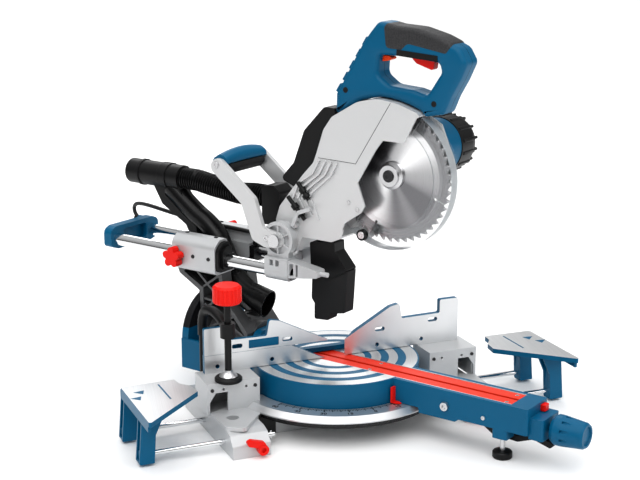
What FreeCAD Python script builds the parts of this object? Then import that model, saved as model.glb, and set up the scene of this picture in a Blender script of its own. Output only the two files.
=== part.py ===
import FreeCAD, Part
import math
import os
from FreeCAD import Vector

# Sliding mitre saw on its own feet, in millimetres.
# +X is the operator's right, +Y is away from the operator, +Z is up.
# The origin is on the turntable's axis, at the surface that the saw stands on.
# Everything that turns with the table is drawn straight (u right, v back, w up)
# and is then turned to the rest mitre.

# ---- driving dimensions -------------------------------------------------
mitre_rest = 31.6
table_height = 91.5
running_gap = 0.05
body_gap = 0.5

# base
ring_radius = 168.0
ring_top = 46.0
ring_depth = 16.0
pivot_radius = 14.0
notch_circle = 177.5
notch_count = 25
wing_inner = 152.0
wing_outer = 240.0
wing_front = -47.0
wing_back = 16.0
wing_wall = 5.0
side_inner = 175.0
side_outer = 232.0
side_back = 100.0
side_height = 38.0
block_inner = 170.0
block_front = -143.0
bench_spacing_x = 420.0
bench_spacing_y = 160.0
bench_hole_radius = 4.5
bench_pad = 12.0

# fences
fence_outer = 228.6
fence_gap = 14.0
fence_thickness = 10.0
fence_split = 121.5
fence_low_top = 143.0
fence_tab_top = 167.2
fence_tab_inner = 193.5
fence_peak = 169.5

# extensions
rod_radius = 4.0
rod_height = 17.0
rod_front_y = -105.0
rod_back_y = -6.0
rod_inner = 150.0
lever_x = -186.0
lever_z = 14.0
stud_radius = 3.0
extension_outer = 369.0
extension_thickness = 8.0
extension_leg_bottom = 4.4

# vertical clamp
clamp_x = -204.0
clamp_y = -45.0
clamp_post_x = -222.0
clamp_post_y = 27.0
post_radius = 6.0
clamp_screw_radius = 5.5
clamp_arm_z = 179.0
clamp_knob_radius = 23.0
clamp_knob_top = 251.0

# turntable
table_radius = 139.0
table_bottom = 53.0
table_wall = 7.0
arm_half = 33.0
arm_end = 375.0
arm_bottom = 49.0
arm_wall = 6.0
insert_half = 24.0
insert_margin = 32.0
insert_thickness = 3.0
kerf_half = 3.0
foot_inset = 47.0
foot_u = -20.0
foot_radius = 15.0
foot_screw_radius = 4.0

insert_end = arm_end - insert_margin
foot_v = foot_inset - arm_end
lever_pivot_v = -205.0
lever_half = 10.0
knob_u = 3.0
knob_w = 57.0
knob_gap = 28.0
lock_screw_radius = 6.0

# bevel joint
bracket_half = 80.0
bracket_front = 215.0
bracket_back = 270.0
tail_bottom = 47.0
tail_top = 57.0
bevel_pin_radius = 12.0
quadrant_radius = 78.0
bevel_slot_radius = 60.0
bevel_bolt_radius = 5.0

# slide
rail_u = 45.0
rail_w = 236.0
rail_radius = 11.0
rail_front = 57.0
rail_back = 462.0
bush_wall = 3.0
housing_front = 200.0
housing_back = 295.0
housing_half = 70.0
housing_bottom = 213.0
housing_top = 273.0
saddle = 250.0
bezel_front = 190.0
bezel_lip = 4.0
knob_v = 284.0
stem_radius = 5.0
left_knob_w = 236.0
right_knob_w = 250.0

# chop hinge
nose_tip = -18.0
pivot_v = 80.0
pivot_w = 291.0
pivot_pin_radius = 8.0
barrel_radius = 27.0
barrel_half = 38.0
lug_radius = 30.0
lug_outer = 52.0

# blade and guards
blade_v = -108.0
blade_w = 413.0
blade_radius = 108.0
blade_thickness = 1.8
blade_teeth = 48
arbor_radius = 15.0
guard_cavity = 119.0
guard_left = -30.0
guard_right = 12.0
guard_skin = 3.0
lower_guard_radius = 117.0

# motor
motor_v = -148.0
motor_w = 455.0
motor_radius = 44.0
motor_end = 94.0
motor_cap_end = 130.0
shaft_radius = 6.0
pinion_radius = 12.0
gear_gap = 9.5

# handle
handle_half = 21.0
handle_wall = 3.0

# dust extraction
hose_radius = 19.0
outlet_radius = 22.0
outlet_bore = 18.0
outlet_w = 355.0
outlet_front = 325.0
outlet_back = 445.0
pipe_radius = 18.0
pipe_wall = 2.0
pipe_path = [(0, 172, 166), (0, 206, 186), (0, 226, 216), (0, 245, 258), (0, 272, 282), (0, 304, 298),
             (0, 352, 334)]

hose_wall = 2.5
hose_path = [(0, 325, 355), (0, 292, 355), (0, 258, 350), (0, 227, 347)]
hose_front_path = [(0, 227, 347), (0, 196, 344), (0, 166, 347), (0, 138, 347)]

# cable
cable_diameter = 7.0
cable_route = [(45, 477, 252), (45, 486, 258), (44, 489, 270), (41, 482, 280), (36, 464, 284), (31, 436, 284.5),
               (28, 404, 282), (27, 366, 278), (28.5, 318, 273.5), (28, 268, 272), (28.5, 216, 271),
               (28.5, 174, 268), (29, 146, 261), (29, 121, 251), (29, 102, 246)]

UP = Vector(0, 0, 1)
ORIGIN = Vector(0, 0, 0)
AXES = {"u": Vector(1, 0, 0), "v": Vector(0, 1, 0), "w": Vector(0, 0, 1)}

os.makedirs("parts", exist_ok=True)


# ---- helpers ------------------------------------------------------------
def block(x, y, z):
    """A box from three (low, high) ranges."""
    corner = Vector(x[0], y[0], z[0])
    return Part.makeBox(x[1] - x[0], y[1] - y[0], z[1] - z[0], corner)


def rod(radius, start, axis, length):
    """A cylinder that runs from start along a named axis."""
    return Part.makeCylinder(radius, length, Vector(*start), AXES[axis])


def pipe(outer, inner, start, axis, length):
    """A tube."""
    return rod(outer, start, axis, length).cut(rod(inner, start, axis, length))


def on_plane(axis, a, b, depth):
    """A point of a flat outline that is extruded along the named axis."""
    if axis == "u":
        return Vector(depth, a, b)
    if axis == "v":
        return Vector(a, depth, b)
    return Vector(a, b, depth)


def outline(points, axis, depth):
    """A closed wire through points (a, b) or (a, b, corner radius)."""
    count = len(points)
    edges = []
    starts = []
    ends = []
    middles = []
    for i in range(count):
        here = Vector(points[i][0], points[i][1], 0)
        before = Vector(points[i - 1][0], points[i - 1][1], 0)
        after = Vector(points[(i + 1) % count][0], points[(i + 1) % count][1], 0)
        radius = points[i][2] if len(points[i]) > 2 else 0.0
        to_before = (before - here).normalize()
        to_after = (after - here).normalize()
        half = to_before.getAngle(to_after) / 2.0
        if radius <= 0 or half > math.radians(88):
            starts.append(here)
            ends.append(here)
            middles.append(None)
            continue
        reach = min((before - here).Length, (after - here).Length) * 0.48
        tangent = min(radius / math.tan(half), reach)
        bend = tangent * math.tan(half)
        inward = (to_before + to_after).normalize()
        centre = here + inward * (bend / math.sin(half))
        starts.append(here + to_before * tangent)
        ends.append(here + to_after * tangent)
        middles.append(centre - inward * bend)
    for i in range(count):
        if middles[i] is not None:
            three = [on_plane(axis, p.x, p.y, depth) for p in (starts[i], middles[i], ends[i])]
            edges.append(Part.Arc(*three).toShape())
        following = starts[(i + 1) % count]
        if (following - ends[i]).Length > 1e-6:
            first = on_plane(axis, ends[i].x, ends[i].y, depth)
            second = on_plane(axis, following.x, following.y, depth)
            edges.append(Part.LineSegment(first, second).toShape())
    return Part.Wire(edges)


def prism(points, axis, low, high):
    """An outline extruded along the named axis from low to high."""
    face = Part.Face(outline(points, axis, low))
    return face.extrude(AXES[axis] * (high - low))


def turned(points, centre, axis="w"):
    """A solid of revolution: points are (radius, height) about a line."""
    corners = [Vector(r, 0, h) for r, h in points]
    face = Part.Face(Part.makePolygon(corners + corners[:1]))
    solid = face.revolve(ORIGIN, UP, 360)
    if axis == "u":
        solid.rotate(ORIGIN, Vector(0, 1, 0), 90)
    if axis == "v":
        solid.rotate(ORIGIN, Vector(1, 0, 0), -90)
    solid.translate(Vector(*centre))
    return solid


def join(*shapes):
    """One solid from several that meet."""
    return shapes[0].multiFuse(list(shapes[1:])).removeSplitter()


def group(shapes):
    """Several separate solids in one node."""
    return Part.makeCompound(shapes)


def mirrored(shape):
    """The same piece on the operator's other side."""
    return shape.mirror(ORIGIN, Vector(1, 0, 0))


def around(shape, count, centre, axis, sweep=360.0):
    """Copies of a shape spread evenly about a line."""
    copies = []
    for i in range(count):
        copy = shape.copy()
        copy.rotate(Vector(*centre), AXES[axis], i * sweep / count)
        copies.append(copy)
    return copies


def bend_radii(points, share=0.45):
    """The radius that each inner point of a route can have."""
    radii = []
    for before, here, after in zip(points, points[1:], points[2:]):
        first = here - before
        second = after - here
        turn = first.getAngle(second)
        shorter = min(first.Length, second.Length)
        radii.append(share * shorter / math.tan(turn / 2.0))
    return radii


def route(points):
    """Straight runs joined by tangent arcs, as one wire."""
    path = [Vector(*p) for p in points]
    radii = bend_radii(path)
    edges = []
    last = path[0]
    for i, radius in enumerate(radii):
        here = path[i + 1]
        back = (path[i] - here).normalize()
        forth = (path[i + 2] - here).normalize()
        half = back.getAngle(forth) / 2.0
        tangent = radius / math.tan(half)
        inward = (back + forth).normalize()
        start = here + back * tangent
        end = here + forth * tangent
        middle = here + inward * (radius / math.sin(half) - radius)
        edges.append(Part.LineSegment(last, start).toShape())
        edges.append(Part.Arc(start, middle, end).toShape())
        last = end
    edges.append(Part.LineSegment(last, path[-1]).toShape())
    return Part.Wire(edges), radii


def swept(points, radius):
    """A round bar along a route."""
    wire, radii = route(points)
    start = Vector(*points[0])
    heading = Vector(*points[1]) - start
    ring = Part.Wire(Part.makeCircle(radius, start, heading))
    return wire.makePipeShell([ring], True, False), wire, radii


def save(name, shape, turns_with_table=True):
    """Write one node."""
    if turns_with_table:
        shape = shape.copy()
        shape.rotate(ORIGIN, UP, mitre_rest)
    for solid in shape.Solids:
        if not solid.isValid() or solid.Volume <= 0:
            print("check the solid of", name)
    shape.exportStep("parts/" + name + ".step")
    print(name, len(shape.Solids), round(shape.Volume / 1000.0, 1), "cm3")


# ---- base ---------------------------------------------------------------
def base_side():
    """The left wing, shelf, rod block and feet."""
    wing = block((-wing_outer, -wing_inner), (wing_front, wing_back), (ring_top - 8, table_height))
    hollow = block((-wing_outer + wing_wall, -wing_inner - wing_wall),
                   (wing_front + wing_wall, wing_back - wing_wall),
                   (0, table_height - wing_wall))
    pocket = prism([(-236, 38), (-236, 60), (-226, 75), (-206, 75), (-206, 38)], "v",
                   wing_front - 1, wing_front + wing_wall + 1)
    side = block((-side_outer, -side_inner), (-60, side_back), (0, side_height))
    side_hollow = block((-side_outer + wing_wall, -side_inner - wing_wall),
                        (-55, side_back - 2 * wing_wall), (bench_pad, side_height - wing_wall))
    shelf = prism([(-237, -49, 3), (-185, -23), (-152, -21), (-150, -62, 6), (-205, -128, 8), (-233, -114, 6)],
                  "w", side_height - 1, side_height + 6)
    front = prism([(block_front, 0), (block_front, 20, 6), (-129, 34, 6), (-112, side_height, 5),
                   (-58, side_height), (-58, 0)], "u", -side_outer, -block_inner)
    solid = join(wing.cut(hollow).cut(pocket), side.cut(side_hollow), shelf, front)
    for y in (rod_front_y, rod_back_y):
        bore = rod(rod_radius + running_gap, (-wing_outer - 10, y, rod_height), "u", 120)
        solid = solid.cut(bore)
    for y in (-bench_spacing_y / 2, bench_spacing_y / 2):
        spot = (-bench_spacing_x / 2, y, -1)
        above = (-bench_spacing_x / 2, y, bench_pad)
        solid = solid.cut(rod(bench_hole_radius, spot, "w", bench_pad + 2))
        solid = solid.cut(rod(2.2 * bench_hole_radius, above, "w", side_height + 20))
    for x in (-213, -175):
        solid = solid.cut(rod(2.0, (x, wing_front - 1, 80), "v", wing_wall + 2))
    stud_bore = rod(stud_radius + running_gap, (lever_x, block_front - 1, lever_z), "v", 12)
    solid = solid.cut(stud_bore)
    socket = rod(10.0, (clamp_post_x, clamp_post_y, 20), "w", 50)
    arm = block((clamp_post_x - 8, clamp_post_x + 8), (wing_back - 2, clamp_post_y), (46, 70))
    leg = block((clamp_post_x - 8, clamp_post_x + 8), (clamp_post_y - 4, clamp_post_y + 4), (20, 60))
    post_bore = rod(post_radius, (clamp_post_x, clamp_post_y, 26), "w", 60)
    return join(solid, socket, arm, leg).cut(post_bore)


def base_casting():
    left = base_side()
    ring = rod(ring_radius, (0, 0, ring_top - ring_depth), "w", ring_depth)
    under = pipe(ring_radius - 10, 34, (0, 0, ring_top - ring_depth), "w", ring_depth - 7)
    ring = ring.cut(under)
    beams = [block((-side_inner - 1, side_inner + 1), (y, y + 22), (0, ring_top - ring_depth + 1))
             for y in (-66, 66)]
    spine = [block((x, x + 12), (-50, 70), (8, ring_top - ring_depth + 10)) for x in (-70, 58)]
    solid = join(left, mirrored(left), ring, detent_rim(), *beams, *spine)
    solid = solid.cut(rod(pivot_radius + running_gap, (0, 0, -1), "w", ring_top + 2))
    return solid


def front_sector(solid):
    """The half of a ring that the operator sees."""
    return solid.common(block((-400, 400), (-400, -22), (0, 200)))


def scale_ring(casting):
    ring = turned([(141, ring_top + 0.2), (141, 52), (171, 52), (180, 44), (180, 42), (177, 42),
                   (177, ring_top + 0.2)], (0, 0, 0))
    return front_sector(ring).cut(casting)


def detent_rim():
    """The notched rim under the scale, which the detent drops into."""
    rim = pipe(176.5, ring_radius - 1, (0, 0, 37), "w", ring_top - 37)
    notches = []
    for i in range(notch_count):
        angle = math.radians(-162 + i * 144 / (notch_count - 1))
        x, y = notch_circle * math.cos(angle), notch_circle * math.sin(angle)
        notches.append(rod(3.0, (x, y, 30), "w", 11))
    return front_sector(rim.cut(Part.makeCompound(notches)))


# ---- fences -------------------------------------------------------------
def fixed_fence():
    top = fence_split
    floor = table_height + 0.8
    left = prism([(-fence_outer, table_height), (-fence_outer, top), (-80, top), (-30, 96), (-20, floor),
                  (-wing_inner, floor), (-wing_inner, table_height)], "v", 0, fence_thickness)
    right = prism([(fence_gap, floor), (fence_gap, 117.7), (100, 166, 6), (117, fence_peak, 4),
                   (122, fence_low_top, 3), (fence_tab_inner, fence_low_top + 1, 3),
                   (fence_tab_inner, fence_tab_top, 3), (fence_outer, fence_tab_top, 3),
                   (fence_outer, table_height), (wing_inner, table_height), (wing_inner, floor)],
                  "v", 0, fence_thickness)
    for x, z in ((81, 129), (180, 134)):
        right = right.cut(slot(x, z, 18, 3.5))
    holes = [rod(3.5, (x, -1, 102), "v", fence_thickness + 2) for x in (-207, -113, 76, 159)]
    bow = block((-120, 120), (30, 42), (floor, 110))
    arms = [block((x, x + 22), (fence_thickness - 1, 42), (floor, 110)) for x in (-130, 108)]
    middle = block((-60, 60), (25, 45), (100, 120))
    solid = join(left, right, bow, *arms).cut(middle).cut(Part.makeCompound(holes))
    rear_flare = prism([(-fence_gap - 0.1, -1), (fence_gap + 0.1, -1), (fence_gap + 24, fence_thickness + 1),
                        (-fence_gap - 24, fence_thickness + 1)], "w", table_height, 130)
    return solid.cut(rear_flare)


def slot(x, z, length, radius):
    """An oblong hole through a fence."""
    reach = length / 2 - radius
    ends = [rod(radius, (x + s * reach, -1, z), "v", 40) for s in (-1, 1)]
    return join(*ends, block((x - reach, x + reach), (-1, 39), (z - radius, z + radius)))


def sliding_fence():
    low = fence_split + 0.3
    plate = prism([(-fence_outer, low), (-fence_outer, fence_tab_top, 3),
                   (-fence_tab_inner, fence_tab_top, 3), (-fence_tab_inner, fence_low_top + 1, 3),
                   (-122, fence_low_top, 3), (-117, fence_peak, 4), (-100, 166, 6),
                   (-fence_gap, low + 1), (-fence_gap, low)], "v", 0, 8)
    for x, z in ((-173, 132), (-86, 133)):
        plate = plate.cut(slot(x, z, 18, 3.5))
    plate = plate.cut(block((-153, -101), (-1, 1.2), (126.5, 138.5)))
    tongue = block((-fence_outer + 6, -140), (fence_thickness + 0.3, fence_thickness + 5), (98, 140))
    lip = block((-fence_outer + 6, -140), (7, fence_thickness + 1), (low, 140))
    return join(plate, tongue, lip)


# ---- side extensions ----------------------------------------------------
def extension():
    """The left sliding work support."""
    x = -extension_outer
    top = table_height
    plate = prism([(x, -6, 3), (x, -170, 3), (-262, -68, 4), (-266, -40, 12), (-279, -24, 10), (-281, -3, 3)],
                  "w", top - extension_thickness, top)
    under = top - extension_thickness + 1
    solids = [plate]
    for y in (rod_front_y, rod_back_y):
        front_face = prism([(x + 2, under), (x + 2, 70), (x - 3, extension_leg_bottom, 2),
                            (x + 21, extension_leg_bottom, 2), (x + 24, 50), (x + 36, 76), (x + 38, under)],
                           "v", y - 11, y - 7)
        back_face = front_face.copy()
        back_face.translate(Vector(0, 18, 0))
        web = block((x + 18, x + 22), (y - 8, y + 8), (extension_leg_bottom, 76))
        foot = block((x - 2, x + 20), (y - 8, y + 8), (extension_leg_bottom, extension_leg_bottom + 4))
        boss = rod(rod_radius + 3, (x, y, rod_height), "u", 22)
        solids += [front_face, back_face, web, foot, boss]
    skirt = block((x, x + 4), (-160, -8), (74, under))
    ribs = [block((x + 2, x + 70), (y, y + 3), (78, under)) for y in (-90, -64, -36)]
    solid = join(*solids, skirt, *ribs)
    for y in (rod_front_y, rod_back_y):
        solid = solid.cut(rod(rod_radius, (x + 2, y, rod_height), "u", 60))
    return solid


def extension_rods():
    rods = []
    for y in (rod_front_y, rod_back_y):
        start = -extension_outer + 2
        bar = rod(rod_radius, (start, y, rod_height), "u", -rod_inner - start)
        stop = rod(1.5, (-rod_inner - 6, y, rod_height - 7), "w", 14)
        rods.append(join(bar, stop))
    return group(rods)


def rod_lever():
    """The red lever that locks the extension's rods."""
    front = block_front - body_gap
    hub = rod(8.5, (lever_x, front - 12, lever_z), "v", 12)
    blade = prism([(lever_x + 7, lever_z + 3, 2), (lever_x + 2, lever_z + 13, 5), (lever_x - 20, lever_z + 19, 3),
                   (lever_x - 27, lever_z + 16, 3), (lever_x - 24, lever_z + 9, 3), (lever_x - 8, lever_z + 4, 2)],
                  "v", front - 11, front - 3)
    recess = rod(4.0, (lever_x, front - 13, lever_z), "v", 5)
    stud = rod(stud_radius, (lever_x, front - 5, lever_z), "v", 13)
    return join(hub, blade).cut(recess).fuse(stud).removeSplitter()


# ---- vertical clamp -----------------------------------------------------
def clamp_post():
    base = rod(post_radius - running_gap, (clamp_post_x, clamp_post_y, 30), "w", 130)
    arch = [(clamp_post_x, clamp_post_y, 150), (clamp_post_x, clamp_post_y, 176),
            (clamp_post_x + 2, clamp_post_y - 8, 194), (clamp_post_x + 8, clamp_post_y - 32, 198),
            (clamp_x - 4, clamp_y + 22, 190), (clamp_x, clamp_y + 4, 179)]
    bar = swept(arch, 8.0)[0]
    collar = rod(12.0, (clamp_x, clamp_y, clamp_arm_z - 14), "w", 24)
    bore = rod(clamp_screw_radius + running_gap, (clamp_x, clamp_y, 100), "w", 160)
    return join(base, bar, collar).cut(bore)


def clamp_screw():
    """The clamp's spindle and its pressure pad."""
    bottom = table_height + 6
    screw = rod(clamp_screw_radius, (clamp_x, clamp_y, bottom), "w", clamp_knob_top - 12 - bottom)
    pad = turned([(0, 92.5), (20, 92.2), (22, 94), (22, 98), (20, 100), (14, 100.5), (6, 106), (0, 106)],
                 (clamp_x, clamp_y, 0))
    return join(screw, pad)


def clamp_knob():
    low = clamp_knob_top - 29
    knob = turned([(0, low), (clamp_knob_radius - 2, low), (clamp_knob_radius, low + 3),
                   (clamp_knob_radius, clamp_knob_top - 4), (clamp_knob_radius - 4, clamp_knob_top),
                   (0, clamp_knob_top)], (clamp_x, clamp_y, 0))
    groove = rod(1.6, (clamp_x + clamp_knob_radius + 0.4, clamp_y, low - 1), "w", 30)
    grooves = around(groove, 20, (clamp_x, clamp_y, 0), "w")
    knob = knob.cut(Part.makeCompound(grooves))
    return knob.cut(rod(clamp_screw_radius, (clamp_x, clamp_y, low - 1), "w", 18))


# ---- turntable ----------------------------------------------------------
def turntable():
    """The round table and its front arm, one casting."""
    drum = rod(table_radius, (0, 0, table_bottom - 6), "w", table_height - table_bottom + 6)
    hollow = pipe(table_radius - table_wall, 30, (0, 0, table_bottom - 7), "w",
                  table_height - table_wall - table_bottom + 7)
    arm = prism([(-arm_half, -100), (-arm_half, -arm_end, 4), (arm_half, -arm_end, 4), (arm_half, -100)],
                "w", arm_bottom, table_height)
    arm_hollow = block((-arm_half + arm_wall, arm_half - arm_wall), (-arm_end + arm_wall, -table_radius - 4),
                       (arm_bottom - 1, table_height - 8))
    cheek = prism([(-184, table_bottom), (-184, 44), (-250, 44, 4), (-262, arm_bottom + 4)], "u",
                  -arm_half, -arm_half + arm_wall)
    cheek_right = cheek.copy()
    cheek_right.translate(Vector(2 * arm_half - arm_wall, 0, 0))
    end_box = prism([(-24, -arm_end + 2), (-24, -arm_end - 22, 4), (30, -arm_end - 22, 4), (30, -arm_end + 2)],
                    "w", 42, 76)
    foot_boss = prism([(-arm_half, foot_v - 13, 4), (-arm_half, foot_v + 13, 4), (foot_u + 14, foot_v + 13, 4),
                       (foot_u + 14, foot_v - 13, 4)], "w", 34, arm_bottom + 6)
    spigot = rod(pivot_radius, (0, 0, 24), "w", 40)
    shoulder = rod(30, (0, 0, ring_top + 0.3), "w", 20)
    over_scale = block((-60, 60), (-183, -130), (30, 52.6))
    arm = arm.cut(arm_hollow).cut(over_scale)
    solid = join(drum.cut(hollow), arm, cheek, cheek_right, end_box, foot_boss, shoulder, spigot)
    trough = block((-insert_half - 0.3, insert_half + 0.3), (-insert_end - 0.3, 60), (table_height - 4, 120))
    kerf = block((-9, 9), (-insert_end + 12, 52), (table_height - 16, 120))
    solid = solid.cut(trough).cut(kerf)
    ear = prism([(-46, 30), (-46, 80, 10), (-30, 116, 20), (30, 116, 20), (46, 80, 10), (46, 30)], "v", 136, 149)
    ear = ear.cut(block((-60, 60), (130, 150), (0, tail_bottom)))
    tail = prism([(-60, 120), (-60, bracket_front), (60, bracket_front), (60, 120)], "w", tail_bottom, tail_top)
    neck = block((-46, 46), (120, 149), (tail_bottom, table_height - table_wall))
    solid = join(solid, neck, ear, tail)
    solid = solid.cut(rod(bevel_pin_radius, (0, 141, table_height), "v", 60))
    lock_bore = rod(lock_screw_radius + running_gap, (knob_u, -arm_end - 40, knob_w), "v", 60)
    foot_bore = rod(foot_screw_radius + running_gap, (foot_u, foot_v, 10), "w", 60)
    button_bore = block((9.5, 24.5), (-arm_end - 1, -arm_end + 14), (77, 87.5))
    return solid.cut(lock_bore).cut(foot_bore).cut(button_bore)


def rear_bracket():
    """The box and slotted disc behind the table that carry the tilting arm."""
    half = bracket_half
    floor = block((-half, half), (bracket_front, bracket_back), (40, tail_top))
    walls = [block((s * half - (6 if s > 0 else 0), s * half + (0 if s > 0 else 6)),
                   (bracket_front, bracket_back), (51, 93)) for s in (-1, 1)]
    disc = rod(quadrant_radius, (0, 256, table_height), "v", bracket_back - 256)
    disc = disc.cut(block((-90, 90), (200, 300), (0, 45)))
    slot_ring = pipe(bevel_slot_radius + bevel_bolt_radius + 0.5, bevel_slot_radius - bevel_bolt_radius - 0.5,
                     (0, 250, table_height), "v", 30)
    wedge = prism([(0, table_height), (-90, table_height + 62), (-60, 200), (20, 200)], "v", 250, 280)
    disc = disc.cut(slot_ring.common(wedge))
    solid = join(floor, *walls, disc)
    return solid.cut(rod(bevel_pin_radius, (0, 240, table_height), "v", 60))


def bevel_pin():
    """The shaft that the head tilts on."""
    shaft = rod(bevel_pin_radius, (0, 141, table_height), "v", bracket_back - 141)
    head = rod(bevel_pin_radius + 5, (0, bracket_back, table_height), "v", 7)
    return join(shaft, head)


def kerf_inserts():
    low = table_height - 4
    strips = []
    for side in (-1, 1):
        inner = side * kerf_half
        outer = side * insert_half
        strip = block((min(inner, outer), max(inner, outer)), (-insert_end, 52), (low, low + insert_thickness))
        for v in (-insert_end + 12, -80, 40):
            strip = strip.cut(rod(3.2, (side * 17, v, low - 1), "w", 8))
        strips.append(strip)
    return group(strips)


def insert_screws():
    low = table_height - 4
    screws = []
    for side in (-1, 1):
        for v in (-insert_end + 12, -80, 40):
            screw = rod(3.1, (side * 17, v, low), "w", insert_thickness)
            cross = join(block((side * 17 - 2, side * 17 + 2), (v - 0.5, v + 0.5), (low + 2, low + 9)),
                         block((side * 17 - 0.5, side * 17 + 0.5), (v - 2, v + 2), (low + 2, low + 9)))
            screws.append(screw.cut(cross))
    return group(screws)


def mitre_pointer():
    """The red pointer over the scale, on the arm's left root."""
    upright = block((-42, -arm_half), (-140.5, -136.5), (54, 79))
    upright = upright.cut(rod(table_radius + 0.1, (0, 0, 40), "w", 60))
    toe = prism([(-42, -137), (-42, -148), (-37, -154), (-34, -148), (-34, -137)], "w", 53, 55.5)
    toe = toe.cut(rod(table_radius + 0.1, (0, 0, 40), "w", 60))
    return join(upright, toe)


def mitre_lock_knob():
    """The blue grip that clamps the mitre angle, with its screwed rod."""
    back = -arm_end - knob_gap
    grip = turned([(0, 0), (20, 0), (24, 6), (24, 14), (20.5, 50), (18, 54), (15, 54), (14, 51), (0, 51)],
                  (knob_u, back, knob_w), "v")
    grip.rotate(Vector(knob_u, back, knob_w), UP, 180)
    flute_start = (knob_u, back - 46, knob_w + 25.2)
    flute = rod(2.2, flute_start, "v", 28)
    flute.rotate(Vector(*flute_start), AXES["u"], -5)
    flutes = around(flute, 10, (knob_u, 0, knob_w), "v")
    grip = grip.cut(Part.makeCompound(flutes))
    return join(grip, rod(lock_screw_radius, (knob_u, back - 20, knob_w), "v", 40))


def detent_lever():
    """The black lever under the arm that lifts the detent out of its notch."""
    tip = -arm_end - 32
    arm = prism([(-196, 58), (-196, 47.2, 2), (tip + 139, 47.2, 4), (tip + 105, 26, 6), (tip + 62, 24, 6),
                 (tip + 35, 34, 4), (tip + 7, 26, 5), (tip, 32, 3), (tip + 23, 41, 3), (tip + 62, 33, 5),
                 (tip + 97, 36, 6), (tip + 131, 57, 4)], "u", 6 - lever_half, 6 + lever_half)
    inside = arm_half - arm_wall - body_gap
    pivot = rod(3.0, (-inside, lever_pivot_v, 53), "u", 2 * inside)
    return join(arm, pivot)


def detent_button():
    """The small red catch at the arm's end."""
    return prism([(10, -arm_end - 8, 3), (24, -arm_end - 8, 3), (24, -arm_end + 8), (10, -arm_end + 8)], "w", 77.5, 87)


def front_foot():
    """The screwed foot under the arm."""
    disc = turned([(0, 0), (foot_radius - 2, 0), (foot_radius, 2), (foot_radius, 9), (foot_radius - 2, 11),
                   (6, 12), (0, 12)], (foot_u, foot_v, 0))
    screw = rod(foot_screw_radius, (foot_u, foot_v, 10), "w", 44)
    return join(disc, screw)


# ---- tilting arm and rail housing --------------------------------------
def tilt_arm():
    """The ribbed casting between the bevel shaft and the rail housing."""
    edge = [(206, housing_bottom), (296, housing_bottom), (304, 208, 4), (300, 198, 6), (254.5, 173, 6),
            (254.5, 60), (151, 60), (151, 113, 4), (176, 142, 6), (197, 160, 6)]
    web = prism(edge, "u", -6, 6)
    rim = prism(edge, "u", -46, 46)
    inner = prism([(213, 206, 4), (288, 206, 4), (290, 202, 3), (247, 179, 4), (247, 66), (158, 66),
                   (158, 110, 3), (182, 138, 4), (203, 156, 4)], "u", -47, 47)
    frame = rim.cut(inner)
    ribs = []
    crossings = [((158, 104), (247, 150)), ((182, 138), (247, 104)), ((203, 156), (247, 160)),
                 ((203, 156), (262, 206)), ((213, 206), (252, 178)), ((203, 176), (247, 140))]
    for start, end in crossings:
        ribs.append(strip(start, end, 4.0, -44, 44))
    boss = rod(33, (0, 151, table_height), "v", 104)
    solid = join(frame, web, boss, *ribs)
    below = block((-60, 60), (140, 260), (0, table_height + 2.5))
    solid = solid.cut(below.cut(rod(33, (0, 140, table_height), "v", 120)))
    solid = solid.cut(rod(bevel_pin_radius + running_gap, (0, 140, table_height), "v", 130))
    # room for the dust pipe in front of and through the arm
    solid = solid.cut(block((-21, 21), (150, 235), (128, 214)))
    solid = solid.cut(swept(pipe_path, pipe_radius + 1)[0])
    bolt_w = table_height + bevel_slot_radius
    return solid.cut(rod(bevel_bolt_radius, (0, 236, bolt_w), "v", 30))


def strip(start, end, width, low, high):
    """A straight rib between two points of the side view."""
    a = Vector(start[0], start[1], 0)
    b = Vector(end[0], end[1], 0)
    along = (b - a).normalize()
    across = Vector(-along.y, along.x, 0) * (width / 2.0)
    corners = [a + across, b + across, b - across, a - across]
    return prism([(p.x, p.y) for p in corners], "u", low, high)


def bevel_lock_lever():
    """The lever behind the slotted disc, with its bolt."""
    w = table_height + bevel_slot_radius
    bolt = rod(bevel_bolt_radius, (0, 238, w), "v", 45)
    hub = rod(12.0, (0, bracket_back + body_gap, w), "v", 16)
    handle = prism([(8, w + 5, 2), (66, w + 14, 6), (70, w + 2, 6), (8, w - 6, 2)], "v", bracket_back + 4,
                   bracket_back + 14)
    return join(bolt, hub, handle)


def rail_housing():
    """The cast body that the two rails slide through."""
    half = housing_half
    section = [(-half, housing_bottom, 8), (-half, 262, 14), (-56, housing_top, 8), (-36, housing_top, 6),
               (-34, saddle), (34, saddle), (36, housing_top, 6), (56, housing_top, 8), (half, 262, 14),
               (half, housing_bottom, 8)]
    body = prism(section, "v", housing_front, housing_back)
    for side in (-1, 1):
        body = body.cut(rod(rail_radius + bush_wall, (side * rail_u, housing_front - 1, rail_w), "v", 120))
    window = block((-24, 24), (housing_front - 1, housing_back + 1), (housing_bottom - 1, 280))
    keep = join(block((-25, 25), (housing_front, housing_front + 8), (214, 222)),
                block((-25, 25), (housing_back - 10, housing_back), (214, saddle)))
    body = body.cut(window.cut(keep)).cut(swept(pipe_path, pipe_radius + 1)[0])
    for side, w in ((-1, left_knob_w), (1, right_knob_w)):
        body = body.cut(rod(stem_radius + running_gap, (side * (half - 5) - 6, knob_v, w), "u", 12))
    return body


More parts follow.
